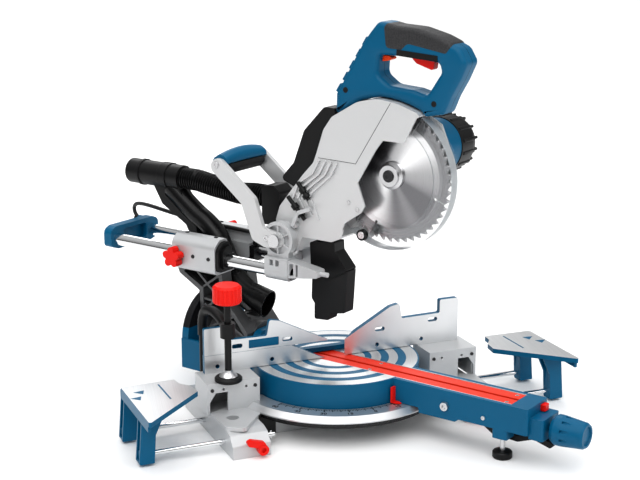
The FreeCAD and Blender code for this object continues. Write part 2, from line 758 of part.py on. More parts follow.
def housing_bezel():
    """The black seal on the front of the housing."""
    section = [(-68, 218, 8), (-68, 258, 14), (-54, 269, 8), (-36, 269, 6), (-34, 246), (34, 246), (36, 269, 6),
               (54, 269, 8), (68, 258, 14), (68, 218, 8)]
    wide = prism(section, "v", bezel_front + bezel_lip, housing_front)
    narrow = prism([(-60, 222, 8), (-60, 254, 10), (-50, 262, 8), (-36, 262, 4), (-34, 243), (34, 243),
                    (36, 262, 4), (50, 262, 8), (60, 254, 10), (60, 222, 8)], "v",
                   bezel_front, bezel_front + bezel_lip + 1)
    solid = join(wide, narrow)
    for side in (-1, 1):
        solid = solid.cut(rod(rail_radius + 0.4, (side * rail_u, bezel_front - 1, rail_w), "v", 60))
    window = block((-24, 24), (bezel_front - 1, housing_front + 1), (226, 280))
    passage = block((-22, 22), (bezel_front - 1, housing_front + 1), (200, 227))
    return solid.cut(window).cut(passage.common(block((-22, 22), (bezel_front, 300), (200, 218))))


def rail_bushes():
    bushes = []
    for side in (-1, 1):
        for v in (housing_front, housing_back - 30):
            bushes.append(pipe(rail_radius + bush_wall, rail_radius + running_gap,
                               (side * rail_u, v, rail_w), "v", 30))
    return group(bushes)


def star_knob(side, w):
    """A five-lobed clamping knob on the side of the housing."""
    start = housing_half + 2
    lobes = []
    for i in range(5):
        angle = math.radians(90 + i * 72)
        lobes.append(rod(6.5, (0, 11.5 * math.cos(angle), 11.5 * math.sin(angle)), "u", 15))
    star = join(rod(12.0, (0, 0, 0), "u", 15), *lobes)
    stem = rod(stem_radius, (-6, 0, 0), "u", 14)
    collar = rod(8.0, (-1, 0, 0), "u", 6)
    knob = join(star, collar, stem)
    knob.translate(Vector(start, knob_v, w))
    return knob if side > 0 else mirrored(knob)


# ---- dust extraction ----------------------------------------------------
def dust_pipe():
    """The funnel behind the blade and the pipe that rises between the rails."""
    outer = prism([(133, 128, 3), (152, 188, 3), (184, 196, 6), (196, 172, 8), (178, 146, 8)], "u", -19, 19)
    inner = prism([(131, 130, 3), (149, 185, 3), (182, 192, 5), (192, 172, 6), (176, 149, 6)], "u", -17, 17)
    tube = swept(pipe_path, pipe_radius)[0]
    bore = swept(pipe_path, pipe_radius - pipe_wall)[0]
    outlet = rod(outlet_radius, (0, outlet_front, outlet_w), "v", 60)
    return join(outer, tube).cut(inner).cut(bore).cut(outlet)


def dust_outlet():
    """The outlet that a vacuum hose goes on, with its stand on the housing."""
    length = outlet_back - outlet_front
    tube = rod(outlet_radius, (0, outlet_front, outlet_w), "v", length)
    bands = [rod(outlet_radius + 1.5, (0, v, outlet_w), "v", width) for v, width in ((414, 6), (352, 18))]
    foot = saddle + 0.2
    stand = prism([(387, 340), (366, 306), (312, 276), (297, foot), (285, foot), (290, 288), (327, 338)],
                  "u", -13, 13)
    feet = block((-30, 30), (285, 294), (foot, foot + 4))
    stand = join(stand, feet).cut(swept(pipe_path, pipe_radius)[0])
    solid = join(tube, *bands, stand)
    solid = solid.cut(rod(outlet_bore, (0, outlet_front - 1, outlet_w), "v", length + 2))
    return solid.cut(swept(pipe_path, pipe_radius - pipe_wall)[0])


def hose(points):
    tube = swept(points, hose_radius)[0]
    bore = swept(points, hose_radius - hose_wall)[0]
    return tube.cut(bore)


# ---- carriage -----------------------------------------------------------
def slide_rails():
    rails = []
    for side in (-1, 1):
        rails.append(pipe(rail_radius, rail_radius - 3, (side * rail_u, rail_front, rail_w), "v",
                          rail_back - rail_front))
    return group(rails)


def front_bracket():
    """The casting on the rails' front ends that carries the hinge."""
    beam = prism([(-60, 237, 3), (-60, 262, 3), (60, 262, 3), (60, 237, 3)], "v", 55, 102)
    sleeves = [rod(rail_radius + 4, (s * rail_u, 55, rail_w), "v", 47) for s in (-1, 1)]
    sleeves = [s.common(block((-60, 60), (55, 102), (224, 262))) for s in sleeves]
    nose = prism([(60, 261), (nose_tip + 14, 252, 3), (nose_tip + 14, 240, 3), (60, 230)], "u", -58, -37)
    for v, width in ((44, 8), (35, 4)):
        nose = nose.cut(block((-59, -50), (v, v + width), (236, 256)))
    nose = join(nose, rod(4.0, (-48, nose_tip, 246), "v", 20))
    cheeks = []
    for side in (-1, 1):
        low = side * lug_outer if side < 0 else barrel_half + body_gap
        high = -barrel_half - body_gap if side < 0 else lug_outer
        cheek = join(rod(lug_radius, (low, pivot_v, pivot_w), "u", high - low),
                     block((low, high), (58, 101), (255, pivot_w)))
        cheeks.append(cheek)
    solid = join(beam, *sleeves, nose, *cheeks)
    solid = solid.cut(block((-33, 33), (54, 103), (230, 263)))
    solid = join(solid, block((-40, 40), (92, 102), (238, 250)))
    for side in (-1, 1):
        solid = solid.cut(rod(rail_radius, (side * rail_u, 50, rail_w), "v", 60))
        solid = solid.cut(pocket_ring(side))
    solid = solid.cut(rod(pivot_pin_radius, (-70, pivot_v, pivot_w), "u", 140))
    for v in (72, 84):
        solid = solid.cut(block((-61, -52), (v, v + 7), (248, 258)))
    return solid


def pocket_ring(side):
    """Ribbed recess in the outer face of a hinge lug."""
    low = side * lug_outer - (1 if side < 0 else 5)
    ring = pipe(24, 13, (low, pivot_v, pivot_w), "u", 6)
    bars = []
    for i in range(6):
        bar = block((low, low + 6), (pivot_v - 1.5, pivot_v + 1.5), (pivot_w, pivot_w + 30))
        bar.rotate(Vector(0, pivot_v, pivot_w), AXES["u"], i * 60)
        bars.append(bar)
    return ring.cut(Part.makeCompound(bars))


def pivot_pin():
    end = lug_outer + 9
    return join(rod(pivot_pin_radius, (-end, pivot_v, pivot_w), "u", 2 * end),
                rod(11.0, (-end - 3.5, pivot_v, pivot_w), "u", 3.5),
                rod(11.0, (end, pivot_v, pivot_w), "u", 3.5))


def rear_cap():
    cap = prism([(-62, 224, 8), (-62, 254, 12), (-48, 260, 8), (48, 260, 8), (62, 254, 12), (62, 224, 8),
                 (44, 218, 8), (-44, 218, 8)], "v", 446, 464)
    recess = prism([(-30, 226, 4), (-30, 252, 4), (30, 252, 4), (30, 226, 4)], "v", 440, 456)
    gland = rod(6.5, (rail_u, 455, 252), "v", 22)
    solid = join(cap.cut(recess), gland)
    for side in (-1, 1):
        solid = solid.cut(rod(rail_radius, (side * rail_u, 440, rail_w), "v", rail_back - 440))
    return solid


def carry_arms():
    """The two side bars of the carrying handle."""
    bar = prism([(69, 280, 8), (76, 304, 8), (104, 309, 10), (120, 356, 14), (190, 412, 9), (201, 414, 8),
                 (212, 405, 8), (211, 393, 8), (148, 344, 16), (126, 286, 12), (100, 277, 10)], "u",
                lug_outer + 1, lug_outer + 9)
    bar = bar.cut(rod(pivot_pin_radius, (lug_outer, pivot_v, pivot_w), "u", 20))
    spacer = pipe(13, pivot_pin_radius, (lug_outer, pivot_v, pivot_w), "u", 1.0)
    right = join(bar, spacer)
    return group([right, mirrored(right)])


def carry_grip():
    """The blue upper half of the carrying handle."""
    half = lug_outer + 1
    section = [(182, 404, 3), (184, 414, 9), (198, 421, 9), (212, 412, 9), (216, 401, 4)]
    return prism(section, "u", -half, half)


def carry_pad():
    """The soft underside of the carrying handle."""
    half = lug_outer + 1 - 8
    section = [(183, 403.9, 2), (180, 396, 6), (190, 385, 8), (206, 385, 8), (214, 393, 6), (215, 400.9, 2)]
    return prism(section, "u", -half, half)


def cable():
    tube, wire, radii = swept(cable_route, cable_diameter / 2)
    print("cable radii", [round(r) for r in radii], "length", round(wire.Length),
          "volume ratio", round(tube.Volume / (math.pi * cable_diameter ** 2 / 4 * wire.Length), 4))
    return tube


# ---- head ---------------------------------------------------------------
stop_lines = [((70, 362), (36, 328)), ((50, 388), (28, 362))]


def stop_axis(start, end):
    """A stop rod's start and its length as a vector."""
    begin = Vector(guard_left - 6.5, *start)
    return begin, Vector(guard_left - 6.5, *end) - begin


def guard_casting():
    """The silver upper guard, with the hinge barrel."""
    rear = [(-168, 512), (-174, 516, 2), (-168, 521), (-132, 532, 40), (-96, 536, 60), (-60, 528, 40),
            (-12, 500, 10), (4, 478, 20), (17, 440, 30), (24, 422, 20), (44, 401, 20), (68, 372, 10), (92, 342, 10),
            (100, 318, 8), (88, 268, 14), (66, 264, 10), (54, 288, 8), (46, 296, 6), (-12, 296, 6), (-30, 304, 6)]
    front = [(-28, 310), (-38, 331), (-69, 352, 3), (-76, 364, 4), (-62, 400), (-95, 455), (-108, 472, 3),
             (-147, 472, 3)]
    body = prism(rear + [(-38, 331), (-69, 352), (-150, 472)], "u", guard_left, guard_right)
    left_plate = prism(rear + front, "u", guard_left, guard_left + guard_skin)
    cavity = rod(guard_cavity, (guard_left + guard_skin, blade_v, blade_w), "u",
                 guard_right - guard_left - 2 * guard_skin)
    mouth = block((guard_left + guard_skin, guard_right - guard_skin), (-60, 44), (262, 330))
    opening = rod(guard_cavity, (guard_left - 1, blade_v, blade_w), "u", guard_skin + 1)
    body = body.cut(opening.cut(prism(rear + front, "u", guard_left - 2, guard_right)))
    right_wall = rod(guard_cavity + 1.5, (guard_right - guard_skin, blade_v, blade_w), "u", guard_skin)
    right_wall = right_wall.common(prism([(-168, 512), (-190, 500), (-215, 440), (-200, 390), (-150, 380),
                                          (-60, 300), (40, 300), (60, 560), (-168, 560)], "u", 0, 40))
    solid = join(body, left_plate, right_wall).cut(cavity)
    barrel = rod(barrel_radius, (-barrel_half, pivot_v, pivot_w), "u", 2 * barrel_half)
    neck = prism([(60, 268, 4), (44, 300, 6), (50, 350, 8), (88, 346, 10), (104, 300, 10), (96, 270, 8)], "u",
                 -barrel_half + 8, barrel_half - 8)
    gearbox = rod(46, (guard_right - 0.5, blade_v, blade_w), "u", 3.0)
    seat = rod(motor_radius, (guard_right - 0.5, motor_v, motor_w), "u", 3.0)
    solid = join(solid, barrel, neck, gearbox, seat)
    solid = solid.cut(mouth.common(rod(guard_cavity + 12, (-40, blade_v, blade_w), "u", 80)))
    solid = solid.cut(rod(pivot_pin_radius + running_gap, (-60, pivot_v, pivot_w), "u", 120))
    solid = solid.cut(rod(arbor_radius + running_gap, (0, blade_v, blade_w), "u", 40))
    solid = solid.cut(rod(shaft_radius + running_gap, (10, motor_v, motor_w), "u", 10))
    ridges = []
    for k in range(3):
        ridge = prism([(10 + 14 * k, 330 + 6 * k), (30 + 14 * k, 372 + 2 * k), (33 + 14 * k, 370 + 2 * k),
                       (13 + 14 * k, 329 + 6 * k)], "u", guard_left - 2.5, guard_left + 0.5)
        for start, end in stop_lines:
            bar_start, bar_line = stop_axis(start, end)
            ridge = ridge.cut(Part.makeCylinder(7.5, bar_line.Length, bar_start, bar_line))
        ridges.append(ridge)
    return join(solid, *ridges)


def rear_guard():
    """The black channel along the back of the upper guard."""
    return prism([(-8, 511, 3), (12, 512, 10), (52, 470, 14), (73, 415, 10), (100, 385, 6), (72, 374),
                  (46, 402.5), (26, 423.5), (19, 441), (6, 479.5), (-8.5, 502.5)], "u", -16, 10)


handle_outline = [(-12, 536, 6), (-20, 548, 10), (-42, 586, 30), (-62, 619, 30), (-76, 637, 20), (-90, 653, 14),
                  (-104, 652, 10), (-120, 648, 30), (-160, 646, 60), (-199, 636, 40), (-234, 621, 16),
                  (-247, 600, 12), (-234, 572, 20), (-219, 546, 10), (-208, 520, 10), (-176, 514, 4), (-168, 521.5),
                  (-132, 532.5, 40), (-96, 536.5, 60), (-60, 528.5, 40), (-19, 505), (-11, 506, 3)]
handle_window = [(-92, 602, 8), (-130, 602, 4), (-199, 597, 8), (-203, 583, 8), (-179, 547, 8), (-154, 553, 20),
                 (-112, 556, 20), (-90, 571, 12)]


def handle_half_shell(side):
    """One half of the moulded handle, split along the middle."""
    low = -handle_half if side < 0 else 0.0
    high = 0.0 if side < 0 else handle_half
    shell = prism(handle_outline, "u", low, high)
    shell = shell.cut(prism(handle_window, "u", -60, 60))
    grip_hollow = prism([(-112, 634, 10), (-150, 632, 20), (-196, 622, 10), (-190, 608, 4), (-112, 614, 4)], "u",
                        -handle_half + handle_wall, handle_half - handle_wall)
    trigger_room = block((-6.5, 6.5), (-186, -138), (594, 620))
    lever_room = block((-7.5, 7.5), (-112, -74), (580, 606))
    shell = shell.cut(grip_hollow).cut(trigger_room).cut(lever_room)
    screw_end = -handle_half - 1 if side < 0 else handle_half - 5
    for v, w in ((-20, 548), (-206, 540)):
        shell = shell.cut(rod(4.0, (screw_end, v, w), "u", 6))
    return shell.cut(grip_profile(0.2))


def grip_profile(gap):
    """The soft pad wrapped over the top of the grip."""
    outer = prism([(-108 + gap, 645 + 5, 8), (-104 + gap, 622 - gap, 8), (-124 - gap, 620 - gap, 4),
                   (-132, 630 - gap, 3), (-216 - gap, 617 - gap, 6), (-232 - gap, 628, 6), (-214, 650), (-150, 660)],
                  "u", -handle_half - 1, handle_half + 1)
    inner = block((-handle_half + 3 + gap, handle_half - 3 - gap), (-240, -90), (600, 633 - gap))
    return outer.cut(inner)


def grip_pad():
    pad = grip_profile(0.0)
    return pad.common(prism(handle_outline, "u", -handle_half - 0.8, handle_half + 0.8))


def trigger():
    """The switch trigger under the grip."""
    return join(prism([(-140, 603, 3), (-152, 592, 6), (-182, 583, 4), (-184, 596, 3), (-180, 603, 2)], "u", -6, 6),
                block((-4, 4), (-176, -146), (601, 612)))


def lock_off():
    """The orange lever that frees the trigger."""
    return prism([(-80, 590, 3), (-83, 600, 4), (-104, 600, 4), (-110, 596, 2), (-100, 592, 4), (-90, 591, 3),
                  (-88, 584, 2), (-80, 584, 2)], "u", -7, 7)


def motor_housing():
    start = guard_right + 2.5
    wall = 4.0
    outer = join(rod(motor_radius, (start, motor_v, motor_w), "u", motor_end - start),
                 rod(46, (start, blade_v, blade_w), "u", 26))
    inner = rod(motor_radius - wall, (start + 30, motor_v, motor_w), "u", motor_end - start)
    gear_room = join(rod(38, (start - 1, blade_v, blade_w), "u", 22), rod(24, (start - 1, motor_v, motor_w), "u", 40))
    return outer.cut(inner).cut(gear_room)


def motor_cap():
    """The vented black end of the motor."""
    length = motor_cap_end - motor_end
    cap = turned([(0, 0), (motor_radius, 0), (motor_radius, 10), (motor_radius - 4, length - 6),
                  (motor_radius - 10, length), (0, length)], (motor_end, motor_v, motor_w), "u")
    inner = rod(motor_radius - 8, (motor_end - 1, motor_v, motor_w), "u", length - 8)
    vent = block((motor_end + 12, motor_end + length - 8), (motor_v - 2, motor_v + 2),
                 (motor_w + motor_radius - 14, motor_w + motor_radius + 6))
    vents = around(vent, 14, (0, motor_v, motor_w), "u")
    return cap.cut(inner).cut(Part.makeCompound(vents))


def armature():
    """Rotor, fan and pinion on one shaft."""
    start = guard_right + 1.0
    shaft = rod(shaft_radius, (guard_right - 2, motor_v, motor_w), "u", motor_end - guard_right + 20)
    rotor = rod(26, (start + 42, motor_v, motor_w), "u", 40)
    pinion = rod(pinion_radius, (start + 4, motor_v, motor_w), "u", 14)
    commutator = rod(15, (start + 86, motor_v, motor_w), "u", 12)
    return join(shaft, rotor, pinion, commutator)


def arbor():
    """Spindle, gear wheel, flanges and the blade's bolt."""
    spacing = math.hypot(motor_v - blade_v, motor_w - blade_w)
    gear = rod(spacing - pinion_radius - gear_gap, (guard_right + 5, blade_v, blade_w), "u", 12)
    spindle = rod(arbor_radius, (blade_thickness / 2, blade_v, blade_w), "u", 22)
    flange = rod(22, (blade_thickness / 2, blade_v, blade_w), "u", 5)
    outer = turned([(0, 0), (22, 0), (22, 4), (17, 6), (17, 11), (0, 11)],
                   (-blade_thickness / 2 - 11, blade_v, blade_w), "u")
    outer = outer.mirror(Vector(-blade_thickness / 2 - 5.5, 0, 0), Vector(1, 0, 0))
    stub = rod(10, (-blade_thickness / 2 - 0.1, blade_v, blade_w), "u", blade_thickness + 0.2)
    socket = prism([(blade_v + 4.6 * math.cos(a), blade_w + 4.6 * math.sin(a))
                    for a in [math.radians(60 * i) for i in range(6)]], "u", -14, -7)
    return join(gear, spindle, flange, outer, stub).cut(socket)


def saw_blade():
    """Toothed disc with expansion slots."""
    points = []
    for i in range(blade_teeth):
        base = 360.0 * i / blade_teeth
        step = 360.0 / blade_teeth
        for offset, radius in ((0.0, blade_radius), (0.16, blade_radius - 0.8), (0.62, blade_radius - 5.5),
                               (0.9, blade_radius - 7.5)):
            angle = math.radians(base + offset * step)
            points.append((blade_v + radius * math.cos(angle), blade_w + radius * math.sin(angle)))
    disc = prism(points, "u", -blade_thickness / 2, blade_thickness / 2)
    disc = disc.cut(rod(10.0, (-5, blade_v, blade_w), "u", 10))
    for i in range(4):
        cut = block((-3, 3), (-0.6, 0.6), (blade_radius - 24, blade_radius + 4))
        hole = rod(2.4, (-3, 0, blade_radius - 24), "u", 6)
        relief = join(cut, hole)
        relief.rotate(ORIGIN, AXES["u"], 20 + 90 * i)
        relief.translate(Vector(0, blade_v, blade_w))
        disc = disc.cut(relief)
    return disc


def lower_guard():
    """The clear swinging guard round the blade."""
    centre = (blade_v, blade_w)
    rim = pipe(lower_guard_radius, lower_guard_radius - 2, (-16, *centre), "u", 22)
    right = pipe(lower_guard_radius, 30, (4.2, *centre), "u", 1.8)
    left = pipe(lower_guard_radius, 84, (-16, *centre), "u", 1.8)
    ring = join(rim, right, left)
    sector = wedge(centre, 122, 306, 140)
    guard = ring.common(sector)
    hub = pipe(36, 30, (6.0, *centre), "u", 2.4)
    return join(guard, hub.cut(pipe(60, 36.5, (6.0, *centre), "u", 3)))


def wedge(centre, start, end, radius):
    """A sector of a disc in the side view, by angles from the back."""
    points = [centre]
    steps = 12
    for i in range(steps + 1):
        angle = math.radians(start + (end - start) * i / steps)
        points.append((centre[0] + radius * math.cos(angle), centre[1] + radius * math.sin(angle)))
    return prism(points, "u", -40, 40)


def guard_roller():
    wheel = pipe(9, 3, (-26, -67, 315), "u", 7)
    axle = rod(3, (-26.5, -67, 315), "u", 10.5)
    return join(wheel, axle)


def dust_chute():
    """The duct behind the blade, from the guard's mouth to the hose."""
    chute = prism([(41, 286, 4), (-8, 292, 2), (-9, 276), (-34, 247, 4), (-3, 231), (6, 228), (38, 222, 4)],
                  "u", -16, 12)
    inner = prism([(38, 290), (-6, 300), (-5, 275), (-28, 246), (0, 234), (8, 226), (35, 220)], "u", -13.5, 9.5)
    return chute.cut(inner)


def chute_flap():
    """The rubber skirt on the end of the duct."""
    outer = prism([(-33, 246.5), (-3, 230.8), (6, 227.8), (38, 221.8), (39, 190, 8), (33, 182), (33, 155, 3),
                   (5, 157, 3), (2, 169), (-28, 175, 3), (-30, 202, 10)], "u", -14, 10)
    inner = prism([(-30, 250), (0, 236), (36, 226), (36.5, 190, 6), (30.5, 182), (30.5, 150), (7.5, 150),
                   (4, 168), (-25.5, 170), (-27.5, 202, 8)], "u", -12, 8)
    return outer.cut(inner)


def dust_elbow():
    """The black block that the hose goes into."""
    shape = prism([(137, 368, 4), (112, 372, 6), (98, 360, 6), (104, 326, 4), (112, 305, 4), (137, 303, 4)],
                  "u", -20, 16)
    bore = rod(hose_radius - 3, (0, 116, 344), "v", 40)
    return shape.cut(bore)


def depth_stop():
    """Threaded stop rods with their nuts, on the left of the hinge."""
    rods = []
    for start, end in stop_lines:
        begin, line = stop_axis(start, end)
        bar = Part.makeCylinder(3.5, line.Length, begin, line)
        nut = Part.makeCylinder(6.0, 8.0, begin + line * 0.35, line)
        lug = Part.makeCylinder(6.5, 6.0, begin + line * 0.7, line)
        rods.append(join(bar, nut, lug))
    return group(rods)


# ---- write the nodes ----------------------------------------------------
base = base_casting()
save("base_casting", base, False)
save("scale_ring", scale_ring(base), False)
save("fixed_fence", fixed_fence(), False)
save("sliding_fence", sliding_fence(), False)
for side, place_piece in (("left", lambda s: s), ("right", mirrored)):
    save(side + "_extension", place_piece(extension()), False)
    save(side + "_rods", place_piece(extension_rods()), False)
    save(side + "_rod_lever", place_piece(rod_lever()), False)
save("clamp_post", clamp_post(), False)
save("clamp_screw", clamp_screw(), False)
save("clamp_knob", clamp_knob(), False)

save("turntable", turntable())
save("rear_bracket", rear_bracket())
save("bevel_pin", bevel_pin())
save("kerf_inserts", kerf_inserts())
save("insert_screws", insert_screws())
save("mitre_pointer", mitre_pointer())
save("mitre_lock_knob", mitre_lock_knob())
save("detent_lever", detent_lever())
save("detent_button", detent_button())
save("front_foot", front_foot())

save("tilt_arm", tilt_arm())
save("bevel_lock_lever", bevel_lock_lever())
save("rail_housing", rail_housing())
save("housing_bezel", housing_bezel())
save("rail_bushes", rail_bushes())
save("left_slide_knob", star_knob(-1, left_knob_w))
save("right_slide_knob", star_knob(1, right_knob_w))
save("dust_pipe", dust_pipe())
save("dust_outlet", dust_outlet())
save("hose_rear", hose(hose_path))
save("hose_front", hose(hose_front_path))

save("slide_rails", slide_rails())
save("front_bracket", front_bracket())
save("pivot_pin", pivot_pin())
save("rear_cap", rear_cap())
save("carry_arms", carry_arms())
save("carry_grip", carry_grip())
save("carry_pad", carry_pad())
save("cable", cable())

save("guard_casting", guard_casting())
save("rear_guard", rear_guard())
save("handle_left", handle_half_shell(-1))
save("handle_right", handle_half_shell(1))
save("grip_pad", grip_pad())
save("trigger", trigger())
save("lock_off", lock_off())
save("motor_housing", motor_housing())
save("motor_cap", motor_cap())
save("armature", armature())
save("arbor", arbor())
save("saw_blade", saw_blade())
save("lower_guard", lower_guard())
save("guard_roller", guard_roller())
save("dust_chute", dust_chute())
save("chute_flap", chute_flap())
save("dust_elbow", dust_elbow())
save("depth_stop", depth_stop())
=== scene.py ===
"""Finishes, fittings and stage for a sliding mitre saw on its base."""

from math import cos, pi, radians, sin, tan

import bmesh
import bpy
from mathutils import Matrix, Vector


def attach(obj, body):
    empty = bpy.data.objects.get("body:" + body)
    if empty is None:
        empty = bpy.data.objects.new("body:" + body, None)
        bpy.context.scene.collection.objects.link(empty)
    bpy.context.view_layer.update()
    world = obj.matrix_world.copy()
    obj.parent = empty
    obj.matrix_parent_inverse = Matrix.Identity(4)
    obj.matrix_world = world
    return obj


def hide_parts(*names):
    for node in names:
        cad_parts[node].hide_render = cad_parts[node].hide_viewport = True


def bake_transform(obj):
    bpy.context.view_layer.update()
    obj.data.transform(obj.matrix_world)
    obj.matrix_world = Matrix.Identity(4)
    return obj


bl_info = {
    "name": "Mitre Saw Finisher",
    "version": (1, 0, 0),
    "blender": (4, 5, 0),
    "location": "3D View > Sidebar > Mitre Saw",
    "description": "Gives a sliding mitre saw its finishes, screws, hose, cable and stage",
    "category": "Object",
}

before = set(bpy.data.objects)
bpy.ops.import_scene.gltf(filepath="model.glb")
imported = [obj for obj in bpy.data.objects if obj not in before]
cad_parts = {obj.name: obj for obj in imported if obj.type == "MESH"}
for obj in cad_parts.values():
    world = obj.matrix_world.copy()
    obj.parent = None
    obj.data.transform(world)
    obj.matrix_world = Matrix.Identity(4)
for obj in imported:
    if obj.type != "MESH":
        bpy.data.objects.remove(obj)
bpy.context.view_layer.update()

MITRE_TURN = radians(31.6)
MM = 0.001
ROW = Matrix.Scale(MM, 4)
TABLE = Matrix.Rotation(MITRE_TURN, 4, "Z") @ ROW
AXES = {"u": Vector((1, 0, 0)), "v": Vector((0, 1, 0)), "w": Vector((0, 0, 1))}


def at(u, v, w):
    """A place on the turned table, in metres in the row frame."""
    return TABLE @ Vector((u, v, w))


# ---- settings -----------------------------------------------------------
class SawColours(bpy.types.PropertyGroup):
    """Colours of the saw's main finishes."""
    paint: bpy.props.FloatVectorProperty(
        name="Blue paint", description="Painted castings and blue shells", subtype="COLOR",
        size=3, min=0, max=1, default=(0.002, 0.110, 0.218))
    casting: bpy.props.FloatVectorProperty(
        name="Silver casting", description="Sprayed aluminium castings", subtype="COLOR",
        size=3, min=0, max=1, default=(0.56, 0.57, 0.58))
    machined: bpy.props.FloatVectorProperty(
        name="Machined face", description="Milled aluminium faces", subtype="COLOR",
        size=3, min=0, max=1, default=(0.72, 0.73, 0.74))
    moulding: bpy.props.FloatVectorProperty(
        name="Black moulding", description="Black plastic parts", subtype="COLOR",
        size=3, min=0, max=1, default=(0.0075, 0.0075, 0.008))
    control: bpy.props.FloatVectorProperty(
        name="Red control", description="Red knobs, levers and inserts", subtype="COLOR",
        size=3, min=0, max=1, default=(0.78, 0.012, 0.006))


class SawSizes(bpy.types.PropertyGroup):
    """Sizes of the fittings."""
    cable_diameter: bpy.props.FloatProperty(
        name="Cable diameter", description="Outside of the cable", unit="LENGTH", default=0.007)
    hose_radius: bpy.props.FloatProperty(
        name="Hose radius", description="Outside radius of the dust hose, in millimetres", default=19.0)
    hose_rib_pitch: bpy.props.FloatProperty(
        name="Hose rib pitch", description="Distance between hose ribs, in millimetres", default=5.2)


class StageSettings(bpy.types.PropertyGroup):
    """Camera, floor and light."""
    lens: bpy.props.FloatProperty(
        name="Lens", description="Focal length in millimetres", default=79.0)
    floor: bpy.props.FloatVectorProperty(
        name="Floor", description="Colour of the floor", subtype="COLOR",
        size=3, min=0, max=1, default=(0.93, 0.93, 0.93))
    key_power: bpy.props.FloatProperty(
        name="Key light", description="Power of the largest lamp, in watts", default=28.0)


def colours():
    return bpy.context.scene.saw_colours


def sizes():
    return bpy.context.scene.saw_sizes


# ---- shared effects -----------------------------------------------------
def link(tree, socket, value):
    """Join a socket to another, or give it a plain value."""
    if isinstance(value, bpy.types.NodeSocket):
        tree.links.new(value, socket)
    elif hasattr(socket.default_value, "__len__") and len(socket.default_value) == 4 and len(value) == 3:
        socket.default_value = (*value, 1)
    else:
        socket.default_value = value


def add_node(tree, kind, inputs=(), **settings):
    """A node with its settings, and its inputs given by name or number."""
    made = tree.nodes.new(kind)
    for setting, value in settings.items():
        setattr(made, setting, value)
    for key, value in dict(inputs).items():
        link(tree, made.inputs[key], value)
    return made


def maths(tree, operation, *values, clamp=False):
    return add_node(tree, "ShaderNodeMath", enumerate(values), operation=operation,
                    use_clamp=clamp).outputs[0]


def make_effect(name, inputs, outputs):
    """An empty effect with its named inputs and outputs."""
    group = bpy.data.node_groups.new(name, "ShaderNodeTree")
    for label, kind, value in inputs:
        group.interface.new_socket(name=label, in_out="INPUT", socket_type=kind).default_value = value
    for label, kind in outputs:
        group.interface.new_socket(name=label, in_out="OUTPUT", socket_type=kind)
    return group, add_node(group, "NodeGroupInput"), add_node(group, "NodeGroupOutput")


NUMBER, VECTOR = "NodeSocketFloat", "NodeSocketVector"


def object_place(tree):
    return add_node(tree, "ShaderNodeTexCoord").outputs["Object"]


def noise(tree, scale, detail=3.0, rough=0.5, place=None):
    return add_node(tree, "ShaderNodeTexNoise",
                    {"Vector": place or object_place(tree), "Scale": scale, "Detail": detail,
                     "Roughness": rough}).outputs["Fac"]


def make_edge_wear():
    """Soft rounding of hard edges, and a broken mask along them."""
    group, given, out = make_effect(
        "edge_wear", [("Radius", NUMBER, 0.0008), ("Amount", NUMBER, 1.0)],
        [("Mask", NUMBER), ("Normal", VECTOR)])
    rounded = add_node(group, "ShaderNodeBevel", {"Radius": given.outputs["Radius"]}, samples=4)
    plain = add_node(group, "ShaderNodeNewGeometry").outputs["Normal"]
    alike = add_node(group, "ShaderNodeVectorMath", {0: rounded.outputs[0], 1: plain},
                     operation="DOT_PRODUCT").outputs["Value"]
    turned_away = maths(group, "MULTIPLY", maths(group, "SUBTRACT", 1.0, alike), 6.0, clamp=True)
    broken = maths(group, "MULTIPLY", noise(group, 90.0, 4.0, 0.7), 2.2)
    broken = maths(group, "SUBTRACT", broken, 0.72, clamp=True)
    mask = maths(group, "MULTIPLY", maths(group, "MULTIPLY", turned_away, broken),
                 given.outputs["Amount"], clamp=True)
    link(group, out.inputs["Mask"], mask)
    link(group, out.inputs["Normal"], rounded.outputs[0])
    return group


def make_grain():
    """Fine speckle of a cast or moulded skin, with a slow drift of tone."""
    group, given, out = make_effect(
        "skin_grain", [("Scale", NUMBER, 900.0), ("Drift Scale", NUMBER, 9.0)],
        [("Height", NUMBER), ("Drift", NUMBER)])
    place = object_place(group)
    fine = noise(group, given.outputs["Scale"], 2.0, 0.6, place)
    pits = add_node(group, "ShaderNodeTexVoronoi",
                    {"Vector": place, "Scale": given.outputs["Scale"]}).outputs["Distance"]
    link(group, out.inputs["Height"], maths(group, "ADD", fine, maths(group, "MULTIPLY", pits, 0.6)))
    link(group, out.inputs["Drift"], noise(group, given.outputs["Drift Scale"], 4.0, 0.55, place))
    return group


def make_facing():
    """White where the surface faces a direction."""
    group, given, out = make_effect(
        "facing", [("Direction", VECTOR, (0, 0, 1)), ("Cutoff", NUMBER, 0.9)], [("Mask", NUMBER)])
    normal = add_node(group, "ShaderNodeVectorTransform",
                      {0: add_node(group, "ShaderNodeNewGeometry").outputs["True Normal"]},
                      vector_type="NORMAL", convert_from="WORLD", convert_to="OBJECT").outputs[0]
    alike = add_node(group, "ShaderNodeVectorMath", {0: normal, 1: given.outputs["Direction"]},
                     operation="DOT_PRODUCT").outputs["Value"]
    link(group, out.inputs["Mask"], maths(group, "GREATER_THAN", alike, given.outputs["Cutoff"]))
    return group


